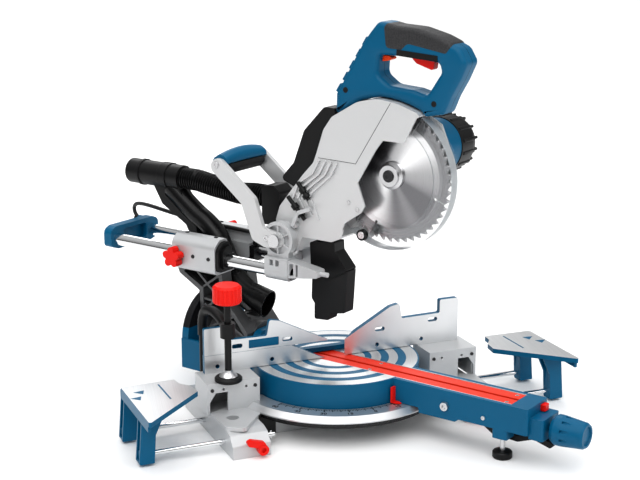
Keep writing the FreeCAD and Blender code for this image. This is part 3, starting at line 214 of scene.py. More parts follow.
def make_mill_marks():
    """Straight cutter marks across one direction."""
    group, given, out = make_effect(
        "mill_marks", [("Scale", VECTOR, (900, 8, 8)), ("Turn", NUMBER, 0.0)],
        [("Height", NUMBER), ("Streak", NUMBER)])
    turned = add_node(group, "ShaderNodeVectorRotate",
                      {"Vector": object_place(group), "Angle": given.outputs["Turn"]},
                      rotation_type="Z_AXIS").outputs[0]
    stretched = add_node(group, "ShaderNodeVectorMath", {0: turned, 1: given.outputs["Scale"]},
                         operation="MULTIPLY").outputs[0]
    marks = noise(group, 1.0, 3.0, 0.6, stretched)
    link(group, out.inputs["Height"], marks)
    link(group, out.inputs["Streak"], marks)
    return group


def make_round_lines():
    """Distance from an upright axis through the pivot, and the angle round it from the front."""
    group, given, out = make_effect(
        "round_the_pivot", [("Centre", VECTOR, (0, 0, 0))], [("Radius", NUMBER), ("Degrees", NUMBER)])
    away = add_node(group, "ShaderNodeVectorMath", {0: object_place(group), 1: given.outputs["Centre"]},
                    operation="SUBTRACT").outputs[0]
    parts = add_node(group, "ShaderNodeSeparateXYZ", {0: away}).outputs
    square = maths(group, "ADD", maths(group, "MULTIPLY", parts[0], parts[0]),
                   maths(group, "MULTIPLY", parts[1], parts[1]))
    link(group, out.inputs["Radius"], maths(group, "SQRT", square))
    turn = maths(group, "ARCTAN2", parts[0], maths(group, "MULTIPLY", parts[1], -1.0))
    link(group, out.inputs["Degrees"], maths(group, "DEGREES", turn))
    return group


EFFECTS = {}


def make_effects():
    EFFECTS.update(edge_wear=make_edge_wear(), grain=make_grain(), facing=make_facing(),
                   mill_marks=make_mill_marks(), round_the_pivot=make_round_lines())


# ---- materials ----------------------------------------------------------
class Finish:
    """A material that grows layer by layer: colour, roughness, metal and relief."""

    def __init__(self, name, colour, roughness, metallic=0.0, gloss=0.5):
        self.material = bpy.data.materials.new(name)
        self.material.use_nodes = True
        self.tree = self.material.node_tree
        self.shader = self.tree.nodes["Principled BSDF"]
        self.colour, self.roughness, self.metallic = tuple(colour), roughness, metallic
        self.shader.inputs["Specular IOR Level"].default_value = gloss
        self.normal = None

    def effect(self, name, **inputs):
        made = add_node(self.tree, "ShaderNodeGroup", node_tree=EFFECTS[name])
        for key, value in inputs.items():
            link(self.tree, made.inputs[key.replace("_", " ")], value)
        return made.outputs

    def maths(self, operation, *values, clamp=False):
        return maths(self.tree, operation, *values, clamp=clamp)

    def mixed(self, mask, first, second, kind="FLOAT"):
        made = add_node(self.tree, "ShaderNodeMix", data_type=kind)
        start = {"FLOAT": 2, "RGBA": 6}[kind]
        link(self.tree, made.inputs[0], mask)
        link(self.tree, made.inputs[start], first)
        link(self.tree, made.inputs[start + 1], second)
        return made.outputs[{"FLOAT": 0, "RGBA": 2}[kind]]

    def layer(self, mask, colour=None, roughness=None, metallic=None):
        """Lay a finish over what is there, where the mask is white."""
        if colour is not None:
            self.colour = self.mixed(mask, self.colour, colour, "RGBA")
        if roughness is not None:
            self.roughness = self.mixed(mask, self.roughness, roughness)
        if metallic is not None:
            self.metallic = self.mixed(mask, self.metallic, metallic)
        return self

    def relief(self, height, distance, strength=1.0):
        inputs = {"Height": height, "Distance": distance, "Strength": strength}
        if self.normal is not None:
            inputs["Normal"] = self.normal
        self.normal = add_node(self.tree, "ShaderNodeBump", inputs).outputs[0]
        return self

    def skin(self, scale=900.0, depth=0.00004, drift=0.12, rough_drift=0.15, drift_scale=9.0):
        """Speckled relief, and a little unevenness of tone and gloss."""
        grain = self.effect("grain", Scale=scale, Drift_Scale=drift_scale)
        darker = tuple(c * (1 - drift) for c in self.colour[:3])
        lighter = tuple(min(1.0, c * (1 + drift)) for c in self.colour[:3])
        self.colour = self.mixed(grain["Drift"], darker, lighter, "RGBA")
        self.roughness = self.mixed(grain["Drift"], self.roughness - rough_drift / 2,
                                    self.roughness + rough_drift / 2)
        return self.relief(grain["Height"], depth)

    def worn(self, radius=0.0008, amount=0.5, colour=(0.6, 0.6, 0.6), roughness=0.35, metallic=None):
        """Rounded and rubbed edges. Called first, so that relief lies on the rounding."""
        wear = self.effect("edge_wear", Radius=radius, Amount=amount)
        self.normal = wear["Normal"]
        self.wear = (wear["Mask"], colour, roughness, metallic)
        return self

    def done(self):
        if hasattr(self, "wear"):
            self.layer(*self.wear)
        link(self.tree, self.shader.inputs["Base Color"], self.colour)
        link(self.tree, self.shader.inputs["Roughness"], self.roughness)
        link(self.tree, self.shader.inputs["Metallic"], self.metallic)
        if self.normal is not None:
            link(self.tree, self.shader.inputs["Normal"], self.normal)
        return self.material


def lighter(colour, by):
    return tuple(min(1.0, c + by) for c in colour)


def silver_casting(name):
    """Sprayed aluminium with slightly rubbed edges."""
    finish = Finish(name, colours().casting, 0.42, 0.35)
    return finish.worn(0.0009, 0.4, (0.8, 0.8, 0.8), 0.25, 0.8).skin(700, 0.00006, 0.07)


def base_casting():
    """Silver base with a blackened toothed rim under the scale."""
    finish = silver_casting("base_casting")
    place = add_node(finish.tree, "ShaderNodeSeparateXYZ", {0: object_place(finish.tree)}).outputs
    radius = finish.effect("round_the_pivot")["Radius"]
    rim = finish.maths("MULTIPLY", finish.maths("GREATER_THAN", radius, 0.148),
                       finish.maths("LESS_THAN", place[2], 0.0418))
    rim = finish.maths("MULTIPLY", rim, finish.maths("LESS_THAN", place[1], -0.055))
    rim = finish.maths("MULTIPLY", rim, finish.maths("LESS_THAN", finish.maths("ABSOLUTE", place[0]), 0.1685))
    return finish.layer(rim, (0.012, 0.012, 0.013), 0.5, 0.0).done()


def pale_casting():
    """Carrying arms and blade housing: a smoother, paler spray."""
    finish = Finish("pale_casting", (0.64, 0.645, 0.65), 0.40, 0.3)
    finish.worn(0.0009, 0.3, (0.85, 0.85, 0.85), 0.25, 0.7).skin(1200, 0.00003, 0.04)
    return finish.done()


def arm_casting():
    """Tilting arm: a sprayed silver casting, coloured dark as painted shade because it lies in shadow; its
    strong pale edges are rubbed wear and also a painted highlight on its lit ribs.
    """
    finish = Finish("arm_casting", (0.12, 0.122, 0.125), 0.45, 0.55)
    finish.worn(0.0009, 0.6, (0.45, 0.45, 0.46), 0.3, 0.9).skin(700, 0.00006, 0.15)
    return finish.done()


def milled(name, turn=0.0):
    finish = Finish(name, colours().machined, 0.3, 1.0)
    finish.worn(0.0005, 0.2, (0.9, 0.9, 0.9), 0.2)
    marks = finish.effect("mill_marks", Turn=turn)
    finish.colour = finish.mixed(marks["Streak"], (0.60, 0.61, 0.62), (0.80, 0.81, 0.82), "RGBA")
    finish.roughness = finish.mixed(marks["Streak"], 0.22, 0.38)
    return finish.relief(marks["Height"], 0.00001).done()


def blue_paint(name="blue_paint", roughness=0.34):
    finish = Finish(name, colours().paint, roughness, gloss=0.22)
    finish.worn(0.0008, 0.35, lighter(colours().paint, 0.12), 0.3).skin(1100, 0.00003, 0.1)
    return finish


def shell_halves():
    """Blue moulded shell with the dark joint between its halves."""
    finish = blue_paint("shell_halves", 0.36)
    across = add_node(finish.tree, "ShaderNodeVectorMath",
                      {0: object_place(finish.tree), 1: tuple(TABLE.to_3x3() @ Vector((1000, 0, 0)))},
                      operation="DOT_PRODUCT").outputs["Value"]
    joint = finish.maths("LESS_THAN", finish.maths("ABSOLUTE", across), 0.00035)
    finish.layer(joint, (0.0015, 0.006, 0.01), 0.7)
    return finish.relief(joint, 0.0004, -1.0).done()


def milled_face(finish, mask, turn=0.0):
    """Bare milled metal over paint."""
    marks = finish.effect("mill_marks", Turn=turn)
    metal = finish.mixed(marks["Streak"], (0.64, 0.65, 0.66), (0.84, 0.85, 0.86), "RGBA")
    gloss = finish.mixed(marks["Streak"], 0.24, 0.4)
    return finish.layer(mask, metal, gloss, 0.85)


def table_top():
    """Painted drum with a milled top that has painted grooves round the pivot."""
    finish = blue_paint("table_paint")
    top = finish.effect("facing", Direction=(0, 0, 1), Cutoff=0.95)["Mask"]
    place = add_node(finish.tree, "ShaderNodeSeparateXYZ", {0: object_place(finish.tree)}).outputs
    top = finish.maths("MULTIPLY", top, finish.maths("GREATER_THAN", place[2], 0.0895))
    radius = finish.effect("round_the_pivot")["Radius"]
    drum = finish.maths("LESS_THAN", radius, 0.1365)
    for low, high in ((0.104, 0.1175), (0.076, 0.089), (0.049, 0.060)):
        inside = finish.maths("MULTIPLY", finish.maths("GREATER_THAN", radius, low),
                              finish.maths("LESS_THAN", radius, high))
        drum = finish.maths("SUBTRACT", drum, inside, clamp=True)
    return milled_face(finish, finish.maths("MULTIPLY", top, drum), 0.4).done()


def fence_faces():
    """Blue fence with bare milled faces towards the work."""
    finish = blue_paint("fence_paint")
    front = finish.effect("facing", Direction=(0, -1, 0), Cutoff=0.9)["Mask"]
    place = add_node(finish.tree, "ShaderNodeSeparateXYZ", {0: object_place(finish.tree)}).outputs
    front = finish.maths("MULTIPLY", front, finish.maths("LESS_THAN", place[1], 0.003))
    return milled_face(finish, front, radians(90)).done()


def extension_faces():
    """Blue extension with a milled top inside a painted border."""
    finish = blue_paint("extension_paint")
    top = finish.effect("facing", Direction=(0, 0, 1), Cutoff=0.95)["Mask"]
    place = add_node(finish.tree, "ShaderNodeSeparateXYZ", {0: object_place(finish.tree)}).outputs
    top = finish.maths("MULTIPLY", top, finish.maths("GREATER_THAN", place[2], 0.0895))
    return milled_face(finish, top, 0.2).done()


def bracket_faces():
    """Blue rear bracket with a dark angle quadrant above its box."""
    finish = blue_paint("bracket_paint")
    place = add_node(finish.tree, "ShaderNodeSeparateXYZ", {0: object_place(finish.tree)}).outputs
    return finish.layer(finish.maths("GREATER_THAN", place[2], QUADRANT_START), (0.02, 0.02, 0.022),
                        0.42, 0.3).done()


def scale_face():
    """Milled ring with dark graduations round the pivot."""
    finish = Finish("scale_face", colours().machined, 0.34, 0.8)
    finish.worn(0.0005, 0.2, (0.9, 0.9, 0.9), 0.2)
    round_pivot = finish.effect("round_the_pivot")
    degrees, radius = round_pivot["Degrees"], round_pivot["Radius"]
    grain = finish.effect("grain", Scale=500.0, Drift_Scale=14.0)
    finish.colour = finish.mixed(grain["Drift"], (0.55, 0.56, 0.57), (0.76, 0.77, 0.78), "RGBA")
    lines = 0.0
    for step, high, half_width in ((1.0, 0.1490, 0.21), (5.0, 0.1515, 0.34), (15.0, 0.1535, 0.45)):
        share = finish.maths("FRACT", finish.maths("ADD", finish.maths("DIVIDE", degrees, step), 100.5))
        off = finish.maths("ABSOLUTE", finish.maths("SUBTRACT", share, 0.5))
        line = finish.maths("LESS_THAN", off, half_width / step)
        line = finish.maths("MULTIPLY", line, finish.maths("GREATER_THAN", radius, 0.1425))
        line = finish.maths("MULTIPLY", line, finish.maths("LESS_THAN", radius, high))
        lines = finish.maths("MAXIMUM", lines, line)
    top = finish.effect("facing", Direction=(0, 0, 1), Cutoff=0.6)["Mask"]
    near = finish.maths("LESS_THAN", finish.maths("ABSOLUTE", degrees), 61.0)
    lines = finish.maths("MULTIPLY", finish.maths("MULTIPLY", lines, top), near)
    finish.layer(lines, (0.02, 0.02, 0.02), 0.6, 0.0)
    return finish.relief(lines, 0.0001, -1.0).done()


def black_moulding(name="black_moulding", roughness=0.42, scale=1500.0, depth=0.00004):
    finish = Finish(name, colours().moulding, roughness, gloss=0.3)
    finish.worn(0.0008, 0.35, (0.06, 0.06, 0.062), 0.35).skin(scale, depth, 0.2)
    return finish.done()


def soft_rubber():
    finish = Finish("soft_rubber", (0.019, 0.019, 0.02), 0.72, gloss=0.3)
    finish.worn(0.001, 0.3, (0.05, 0.05, 0.05), 0.6).skin(1800, 0.00005, 0.2)
    return finish.done()


def grip_rubber():
    """Pebbled over-moulding of the grip, with painted shade darkening the hollows between the pebbles."""
    finish = Finish("grip_rubber", (0.022, 0.022, 0.024), 0.62)
    finish.worn(0.001, 0.2, (0.05, 0.05, 0.05), 0.6)
    place = object_place(finish.tree)
    pebbles = add_node(finish.tree, "ShaderNodeTexVoronoi",
                       {"Vector": place, "Scale": 420.0, "Randomness": 0.55},
                       feature="SMOOTH_F1").outputs["Distance"]
    # The hollows between the pebbles are coloured darker than their tops: painted shade.
    finish.colour = finish.mixed(pebbles, (0.045, 0.045, 0.048), (0.012, 0.012, 0.013), "RGBA")
    finish.roughness = finish.mixed(pebbles, 0.5, 0.75)
    return finish.relief(pebbles, 0.0006, -1.0).done()


def red_control():
    finish = Finish("red_control", colours().control, 0.36, gloss=0.25)
    finish.worn(0.0008, 0.25, (0.85, 0.12, 0.08), 0.3).skin(1300, 0.00003, 0.1)
    return finish.done()


def insert_red():
    finish = Finish("insert_red", (0.78, 0.035, 0.010), 0.42, gloss=0.25)
    finish.worn(0.0005, 0.25, (0.85, 0.12, 0.06), 0.35).skin(1300, 0.00003, 0.08)
    return finish.done()


def orange_control():
    finish = Finish("orange_control", (0.88, 0.07, 0.012), 0.36, gloss=0.25)
    finish.worn(0.0008, 0.25, (0.9, 0.2, 0.1), 0.3).skin(1300, 0.00003, 0.08)
    return finish.done()


def chrome():
    finish = Finish("ground_chrome", (0.82, 0.83, 0.84), 0.12, 1.0)
    return finish.skin(2500, 0.000004, 0.03, 0.08).done()


def bright_steel():
    finish = Finish("bright_steel", (0.62, 0.62, 0.63), 0.28, 1.0)
    return finish.worn(0.0003, 0.3, (0.85, 0.85, 0.85), 0.2).skin(1800, 0.00001, 0.08).done()


def dark_steel():
    finish = Finish("dark_steel", (0.06, 0.06, 0.062), 0.4, 0.9)
    return finish.worn(0.0004, 0.5, (0.5, 0.5, 0.5), 0.3).skin(1500, 0.00002, 0.2).done()


BLADE_CENTRE = (0.0, -108.0, 413.0)
QUADRANT_START = 0.112


BLADE_BODY = 0.086


def blade_steel():
    """Polished disc with fine rings, and broad fans of painted reflection in its colour round its centre."""
    finish = Finish("blade_steel", (0.74, 0.75, 0.76), 0.2, 1.0)
    centre = at(*BLADE_CENTRE)
    flat = add_node(finish.tree, "ShaderNodeVectorMath",
                    {0: object_place(finish.tree), 1: tuple(centre)}, operation="SUBTRACT").outputs[0]
    flat = add_node(finish.tree, "ShaderNodeVectorRotate", {"Vector": flat, "Angle": -MITRE_TURN},
                    rotation_type="Z_AXIS").outputs[0]
    parts = add_node(finish.tree, "ShaderNodeSeparateXYZ", {0: flat}).outputs
    radius = finish.maths("SQRT", finish.maths("ADD", finish.maths("MULTIPLY", parts[1], parts[1]),
                                               finish.maths("MULTIPLY", parts[2], parts[2])))
    turn = finish.maths("ARCTAN2", parts[1], parts[2])
    # Painted reflection: bright and dark fans set by the angle round the blade's centre.
    painted_sheen_fan = finish.maths("SINE", finish.maths("MULTIPLY", turn, -2.0))
    painted_sheen_fan = finish.maths("POWER", finish.maths("MULTIPLY_ADD", painted_sheen_fan, 0.5, 0.5), 2.0)
    finer_painted_sheen = finish.maths("SINE", finish.maths("MULTIPLY_ADD", turn, 7.0, 1.1))
    painted_sheen_fan = finish.maths("MULTIPLY_ADD", finer_painted_sheen, 0.12, painted_sheen_fan, clamp=True)
    rings = noise(finish.tree, 1.0, 4.0, 0.7, add_node(
        finish.tree, "ShaderNodeCombineXYZ",
        {0: finish.maths("MULTIPLY", radius, 1600.0)}).outputs[0])
    # The fans choose between dark and bright steel colours, as painted reflection.
    finish.colour = finish.mixed(painted_sheen_fan, (0.20, 0.20, 0.21), (0.93, 0.93, 0.94), "RGBA")
    finish.layer(finish.maths("GREATER_THAN", radius, BLADE_BODY), (0.30, 0.30, 0.31))
    finish.roughness = finish.mixed(rings, 0.16, 0.36)
    return finish.relief(rings, 0.00001).done()


def clear_guard():
    """Clear moulded cover: almost clear faces, milky edges."""
    finish = Finish("clear_guard", (0.62, 0.65, 0.67), 0.07)
    finish.worn(0.0006, 0.15, (1, 1, 1), 0.2)
    haze = noise(finish.tree, 30.0, 4.0, 0.6)
    finish.roughness = finish.mixed(haze, 0.03, 0.12)
    shader = finish.shader
    shader.inputs["IOR"].default_value = 1.49
    material = finish.done()
    rim = add_node(finish.tree, "ShaderNodeFresnel", {"IOR": 1.35}).outputs[0]
    alpha = finish.maths("MULTIPLY_ADD", rim, 0.9, 0.03, clamp=True)
    link(finish.tree, shader.inputs["Alpha"], alpha)
    return material


def cable_sheath():
    finish = Finish("cable_sheath", (0.014, 0.014, 0.015), 0.5)
    finish.skin(2200, 0.00003, 0.2)
    return finish.done()


def printed_ink():
    finish = Finish("scale_ink", (0.02, 0.02, 0.022), 0.6)
    return finish.skin(2000, 0.00001, 0.2).done()


def seam_dark():
    """Shadowed bottom of joints, pockets and slots."""
    finish = Finish("deep_shadow", (0.008, 0.008, 0.009), 0.8)
    return finish.skin(900, 0.00002, 0.3).done()


FINISHES = {}


def make_finishes():
    FINISHES.update(
        silver_casting=silver_casting("silver_casting").done(), base_casting=base_casting(),
        shell_halves=shell_halves(), pale_casting=pale_casting(), arm_casting=arm_casting(),
        milled=milled("milled_metal"), blue_paint=blue_paint().done(),
        blue_shell=blue_paint("blue_shell", 0.38).done(), table_top=table_top(),
        fence_faces=fence_faces(), bracket_faces=bracket_faces(),
        extension_faces=extension_faces(), scale_face=scale_face(), black_moulding=black_moulding(),
        glossy_moulding=black_moulding("glossy_moulding", 0.27, 900, 0.00001),
        soft_rubber=soft_rubber(), grip_rubber=grip_rubber(), red_control=red_control(),
        insert_red=insert_red(), orange_control=orange_control(), chrome=chrome(),
        bright_steel=bright_steel(), dark_steel=dark_steel(), blade_steel=blade_steel(),
        clear_guard=clear_guard(), cable_sheath=cable_sheath(), ink=printed_ink(), shadow=seam_dark())


NODE_FINISHES = {
    "base_casting": ["base_casting"],
    "silver_casting": ["rail_housing", "front_bracket"],
    "pale_casting": ["guard_casting", "carry_arms"],
    # The tilt arm's dark colour is painted shade on a silver casting.
    "arm_casting": ["tilt_arm"],
    "blue_paint": ["rear_cap"],
    "bracket_faces": ["rear_bracket"],
    "blue_shell": ["handle_left", "handle_right", "motor_housing", "carry_grip", "mitre_lock_knob"],
    "table_top": ["turntable"],
    "fence_faces": ["fixed_fence", "sliding_fence"],
    "extension_faces": ["left_extension", "right_extension"],
    "scale_face": ["scale_ring"],
    "black_moulding": ["clamp_post", "clamp_screw", "detent_lever", "bevel_lock_lever",
                       "housing_bezel", "rail_bushes", "dust_outlet", "rear_guard", "motor_cap",
                       "guard_roller", "dust_chute", "dust_elbow", "depth_stop"],
    "glossy_moulding": ["dust_pipe"],
    "soft_rubber": ["hose_rear", "hose_front", "chute_flap", "carry_pad"],
    "grip_rubber": ["grip_pad"],
    "red_control": ["left_rod_lever", "right_rod_lever", "clamp_knob", "mitre_pointer",
                    "left_slide_knob", "right_slide_knob", "trigger", "detent_button"],
    "insert_red": ["kerf_inserts"],
    "orange_control": ["lock_off"],
    "chrome": ["left_rods", "right_rods", "slide_rails"],
    "bright_steel": ["bevel_pin", "insert_screws", "front_foot", "pivot_pin", "armature", "arbor"],
    "blade_steel": ["saw_blade"],
    "clear_guard": ["lower_guard"],
    "cable_sheath": ["cable"],
}


def dress_nodes():
    """Give every part of the frame its finish."""
    for finish, nodes in NODE_FINISHES.items():
        for name in nodes:
            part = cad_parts[name]
            part.data.materials.clear()
            part.data.materials.append(FINISHES[finish])


# ---- modelling helpers --------------------------------------------------
SCREW_TAPER = 0.9
SCREW_LIP = 0.42
SCREW_DEPTH = 0.6
DOUBLES = 0.0005
CURVE_DOUBLES = 0.01
SIDEWAYS = Matrix(((0, 0, 1, 0), (1, 0, 0, 0), (0, 1, 0, 0), (0, 0, 0, 1)))


def spot(centre, axis):
    """Matrix that puts a shape made along w at a centre, along an axis."""
    turn = AXES["w"].rotation_difference(AXES[axis] if isinstance(axis, str) else Vector(axis))
    return Matrix.Translation(Vector(centre)) @ turn.to_matrix().to_4x4()


def soften(bm, edges, by, segments=2):
    bmesh.ops.bevel(bm, geom=list(edges), offset=by, affect="EDGES", segments=segments, profile=0.5,
                    material=-1)


def add_block(bm, low, high, rounding=0.0, turn=None):
    """A block between two corners, with rounded edges."""
    low, high = Vector(low), Vector(high)
    made = bmesh.ops.create_cube(bm, size=1.0)["verts"]
    place = Matrix.Translation((low + high) / 2) @ Matrix.Diagonal((*(high - low), 1.0))
    bmesh.ops.transform(bm, matrix=place, verts=made)
    if turn is not None:
        bmesh.ops.transform(bm, matrix=turn, verts=made)
    if rounding:
        soften(bm, {e for v in made for e in v.link_edges}, rounding)


def add_rod(bm, centre, axis, radius, length, far_radius=None, rounding=0.0, segments=32):
    """A rod or cone from a centre, along an axis."""
    far_radius = radius if far_radius is None else far_radius
    place = spot(centre, axis) @ Matrix.Translation((0, 0, length / 2))
    made = bmesh.ops.create_cone(bm, cap_ends=True, segments=segments, radius1=radius,
                                 radius2=far_radius, depth=length, matrix=place)["verts"]
    if rounding:
        ring = {e for v in made for e in v.link_edges if len(e.link_faces) == 2
                and min(len(f.verts) for f in e.link_faces) < max(len(f.verts) for f in e.link_faces)}
        soften(bm, ring, rounding)
    return made


def add_socket_screw(bm, centre, axis, radius, height):
    """A round head with a chamfer and a sunk drive."""
    made = add_rod(bm, centre, axis, radius, height, radius * SCREW_TAPER)
    direction = Vector(AXES[axis] if isinstance(axis, str) else axis).normalized()
    caps = {f for v in made for f in v.link_faces if len(f.verts) > 4}
    top = max(caps, key=lambda f: f.calc_center_median().dot(direction))
    bmesh.ops.inset_region(bm, faces=[top], thickness=radius * SCREW_LIP, depth=0)
    walls = bmesh.ops.extrude_discrete_faces(bm, faces=[top])["faces"]
    bmesh.ops.translate(bm, vec=direction * -height * SCREW_DEPTH, verts=walls[0].verts)


def add_turned(bm, profile, centre, axis, steps=48):
    """A turned shape: (radius, height) points spun round an axis."""
    earlier = set(bm.verts)
    made = [bm.verts.new((radius, 0, height)) for radius, height in profile]
    edges = [bm.edges.new(pair) for pair in zip(made, made[1:])]
    bmesh.ops.spin(bm, geom=made + edges, cent=(0, 0, 0), axis=(0, 0, 1), angle=2 * pi,
                   steps=steps, use_merge=True)
    fresh = [v for v in bm.verts if v not in earlier]
    bmesh.ops.transform(bm, matrix=spot(centre, axis), verts=fresh)
    bmesh.ops.remove_doubles(bm, verts=bm.verts, dist=DOUBLES)


def add_shape_of(bm, holder, place):
    """Add the mesh of a curve or text object at a place, and remove the object."""
    flat = holder.evaluated_get(bpy.context.evaluated_depsgraph_get()).to_mesh()
    flat.transform(place)
    bm.from_mesh(flat)
    bpy.data.objects.remove(holder)


def add_plate(bm, points, axis, low, high, rounding=0.0):
    """A flat outline, given across an axis, pulled from low to high along it."""
    order = {"u": lambda a, b: (low, a, b), "v": lambda a, b: (a, low, b), "w": lambda a, b: (a, b, low)}
    face = bm.faces.new([bm.verts.new(order[axis](*point)) for point in points])
    pulled = bmesh.ops.extrude_face_region(bm, geom=[face])["geom"]
    verts = [g for g in pulled if isinstance(g, bmesh.types.BMVert)]
    bmesh.ops.translate(bm, vec=AXES[axis] * (high - low), verts=verts)
    if rounding:
        soften(bm, {e for v in verts for e in v.link_edges if all(w in verts for w in e.verts)}, rounding)


def finish_piece(bm, name, body, finish, turned=True, smooth=35.0):
    """Turn a finished shape in millimetres into a piece that rides on a body."""
    bmesh.ops.remove_doubles(bm, verts=bm.verts, dist=DOUBLES)
    bmesh.ops.transform(bm, matrix=TABLE if turned else ROW, verts=bm.verts)
    bmesh.ops.recalc_face_normals(bm, faces=bm.faces)
    for edge in bm.edges:
        flat = len(edge.link_faces) != 2 or edge.calc_face_angle(0) > radians(smooth)
        edge.smooth = not flat
    for face in bm.faces:
        face.smooth = True
    mesh = bpy.data.meshes.new(name)
    bm.to_mesh(mesh)
    bm.free()
    piece = bpy.data.objects.new(name, mesh)
    bpy.context.scene.collection.objects.link(piece)
    mesh.materials.append(FINISHES[finish])
    if body:
        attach(piece, body)
    return piece


# ---- pieces -------------------------------------------------------------
class Piece(bpy.types.Operator):
    """Shared settings of the operators that add a piece."""
    bl_options = {"REGISTER", "UNDO"}


CAMERA_PLACE = (-0.8801, -2.0368, 0.8655)
CAMERA_TURN = (radians(75.5), 0, radians(-22.7))
FILL_POWER, REAR_POWER = 12.0, 26.0
CEILING_STRENGTH, CEILING_SPREAD = 1.7, radians(80)
SKY_STRENGTH, BACKDROP_SHADE = 0.5, 1.8


class SAW_OT_stage(Piece):
    """Set the floor, lamps, background and camera."""
    bl_idname = "saw.stage"
    bl_label = "Stage"

    def execute(self, context):
        stage = context.scene.saw_stage
        bm = bmesh.new()
        bmesh.ops.create_grid(bm, x_segments=1, y_segments=1, size=8.0)
        mesh = bpy.data.meshes.new("floor")
        bm.to_mesh(mesh)
        bm.free()
        floor = bpy.data.objects.new("floor", mesh)
        context.scene.collection.objects.link(floor)
        paper = Finish("floor_paper", stage.floor, 0.75)
        mesh.materials.append(paper.skin(40, 0.00002, 0.01, 0.05, 1.5).done())
        for name, power, size, place, target in (
                ("key", stage.key_power, 2.6, (-2.0, -2.6, 2.7), (0, 0, 0.3)),
                ("fill", FILL_POWER, 1.6, (2.2, -1.6, 1.2), (0, 0, 0.25)),
                ("rear", REAR_POWER, 2.0, (0.6, 2.4, 2.2), (0, 0, 0.3))):
            lamp = bpy.data.lights.new(name, "AREA")
            lamp.energy, lamp.size = power, size
            holder = bpy.data.objects.new(name, lamp)
            holder.location = place
            aim = Vector(target) - Vector(place)
            holder.rotation_euler = aim.to_track_quat("-Z", "Y").to_euler()
            context.scene.collection.objects.link(holder)
        sun = bpy.data.lights.new("ceiling", "SUN")
        sun.energy, sun.angle = CEILING_STRENGTH, CEILING_SPREAD
        holder = bpy.data.objects.new("ceiling", sun)
        holder.rotation_euler = (radians(14), radians(-10), 0)
        context.scene.collection.objects.link(holder)
        world = bpy.data.worlds.new("studio")
        world.use_nodes = True
        tree = world.node_tree
        backdrop = tree.nodes["Background"]
        height = add_node(tree, "ShaderNodeSeparateXYZ",
                          {0: add_node(tree, "ShaderNodeTexCoord").outputs["Generated"]}).outputs[2]
        shades = add_node(tree, "ShaderNodeValToRGB", {0: maths(tree, "MULTIPLY_ADD", height, 0.5, 0.5)})
        shades.color_ramp.elements[0].position = 0.40
        shades.color_ramp.elements[0].color = (0.30, 0.30, 0.30, 1)
        shades.color_ramp.elements[1].position = 0.85
        shades.color_ramp.elements[1].color = (1.0, 1.0, 1.0, 1)
        for position, shade in ((0.51, 0.16), (0.56, 0.10), (0.62, 0.55)):
            shades.color_ramp.elements.new(position).color = (shade, shade, shade, 1)
        seen = add_node(tree, "ShaderNodeLightPath").outputs["Is Camera Ray"]
        shown = add_node(tree, "ShaderNodeMix",
                         {0: seen, 6: shades.outputs[0], 7: (BACKDROP_SHADE,) * 3 + (1,)},
                         data_type="RGBA")
        link(tree, backdrop.inputs[0], shown.outputs[2])
        backdrop.inputs[1].default_value = SKY_STRENGTH
        context.scene.world = world
        context.scene.view_settings.view_transform = "Standard"
        context.scene.view_settings.look = "Medium High Contrast"
        camera = bpy.data.cameras.new("camera")
        camera.lens = stage.lens
        viewer = bpy.data.objects.new("camera", camera)
        viewer.location, viewer.rotation_euler = CAMERA_PLACE, CAMERA_TURN
        context.scene.collection.objects.link(viewer)
        context.scene.camera = viewer
        return {"FINISHED"}


class SAW_OT_finishes(Piece):
    """Make the finishes and give every part of the frame its own."""
    bl_idname = "saw.finishes"
    bl_label = "Finishes"

    def execute(self, context):
        make_effects()
        make_finishes()
        dress_nodes()
        return {"FINISHED"}


CABLE_ROUTE = [(45, 477, 252), (45, 486, 258), (44, 489, 270), (41, 482, 280), (36, 464, 284),
               (31, 436, 284.5), (28, 404, 282), (27, 366, 278), (28.5, 318, 273.5), (28, 268, 272),
               (28.5, 216, 271), (28.5, 174, 268), (29, 146, 261), (29, 121, 251), (29, 102, 246)]


class SAW_OT_cable(Piece):
    """Cable from the rear cap to the front bracket, with its strain relief."""
    bl_idname = "saw.cable"
    bl_label = "Cable"

    def execute(self, context):
        curve = bpy.data.curves.new("saw_cable", "CURVE")
        curve.dimensions = "3D"
        line = curve.splines.new("NURBS")
        line.points.add(len(CABLE_ROUTE) - 1)
        for point, place in zip(line.points, CABLE_ROUTE):
            point.co = (*at(*place), 1.0)
        line.order_u = 3
        line.use_endpoint_u = True
        line.resolution_u = 12
        curve.bevel_depth = sizes().cable_diameter / 2
        curve.bevel_resolution = 5
        curve.use_fill_caps = True
        curve.materials.append(FINISHES["cable_sheath"])
        cable = bpy.data.objects.new("saw_cable", curve)
        context.scene.collection.objects.link(cable)
        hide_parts("cable")
        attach(cable, "carriage")
        bm = bmesh.new()
        sleeve = [(3.6, 0), (6.4, 0), (6.4, 3), (5.2, 3.6), (5.2, 5.2), (5.9, 5.8), (5.9, 7.6), (4.9, 8.2),
                  (4.9, 9.8), (5.4, 10.4), (5.4, 12), (4.4, 12.8), (3.6, 13)]
        add_turned(bm, sleeve, (45, 474, 252), "v", 24)
        finish_piece(bm, "cable_sleeve", "carriage", "soft_rubber")
        return {"FINISHED"}


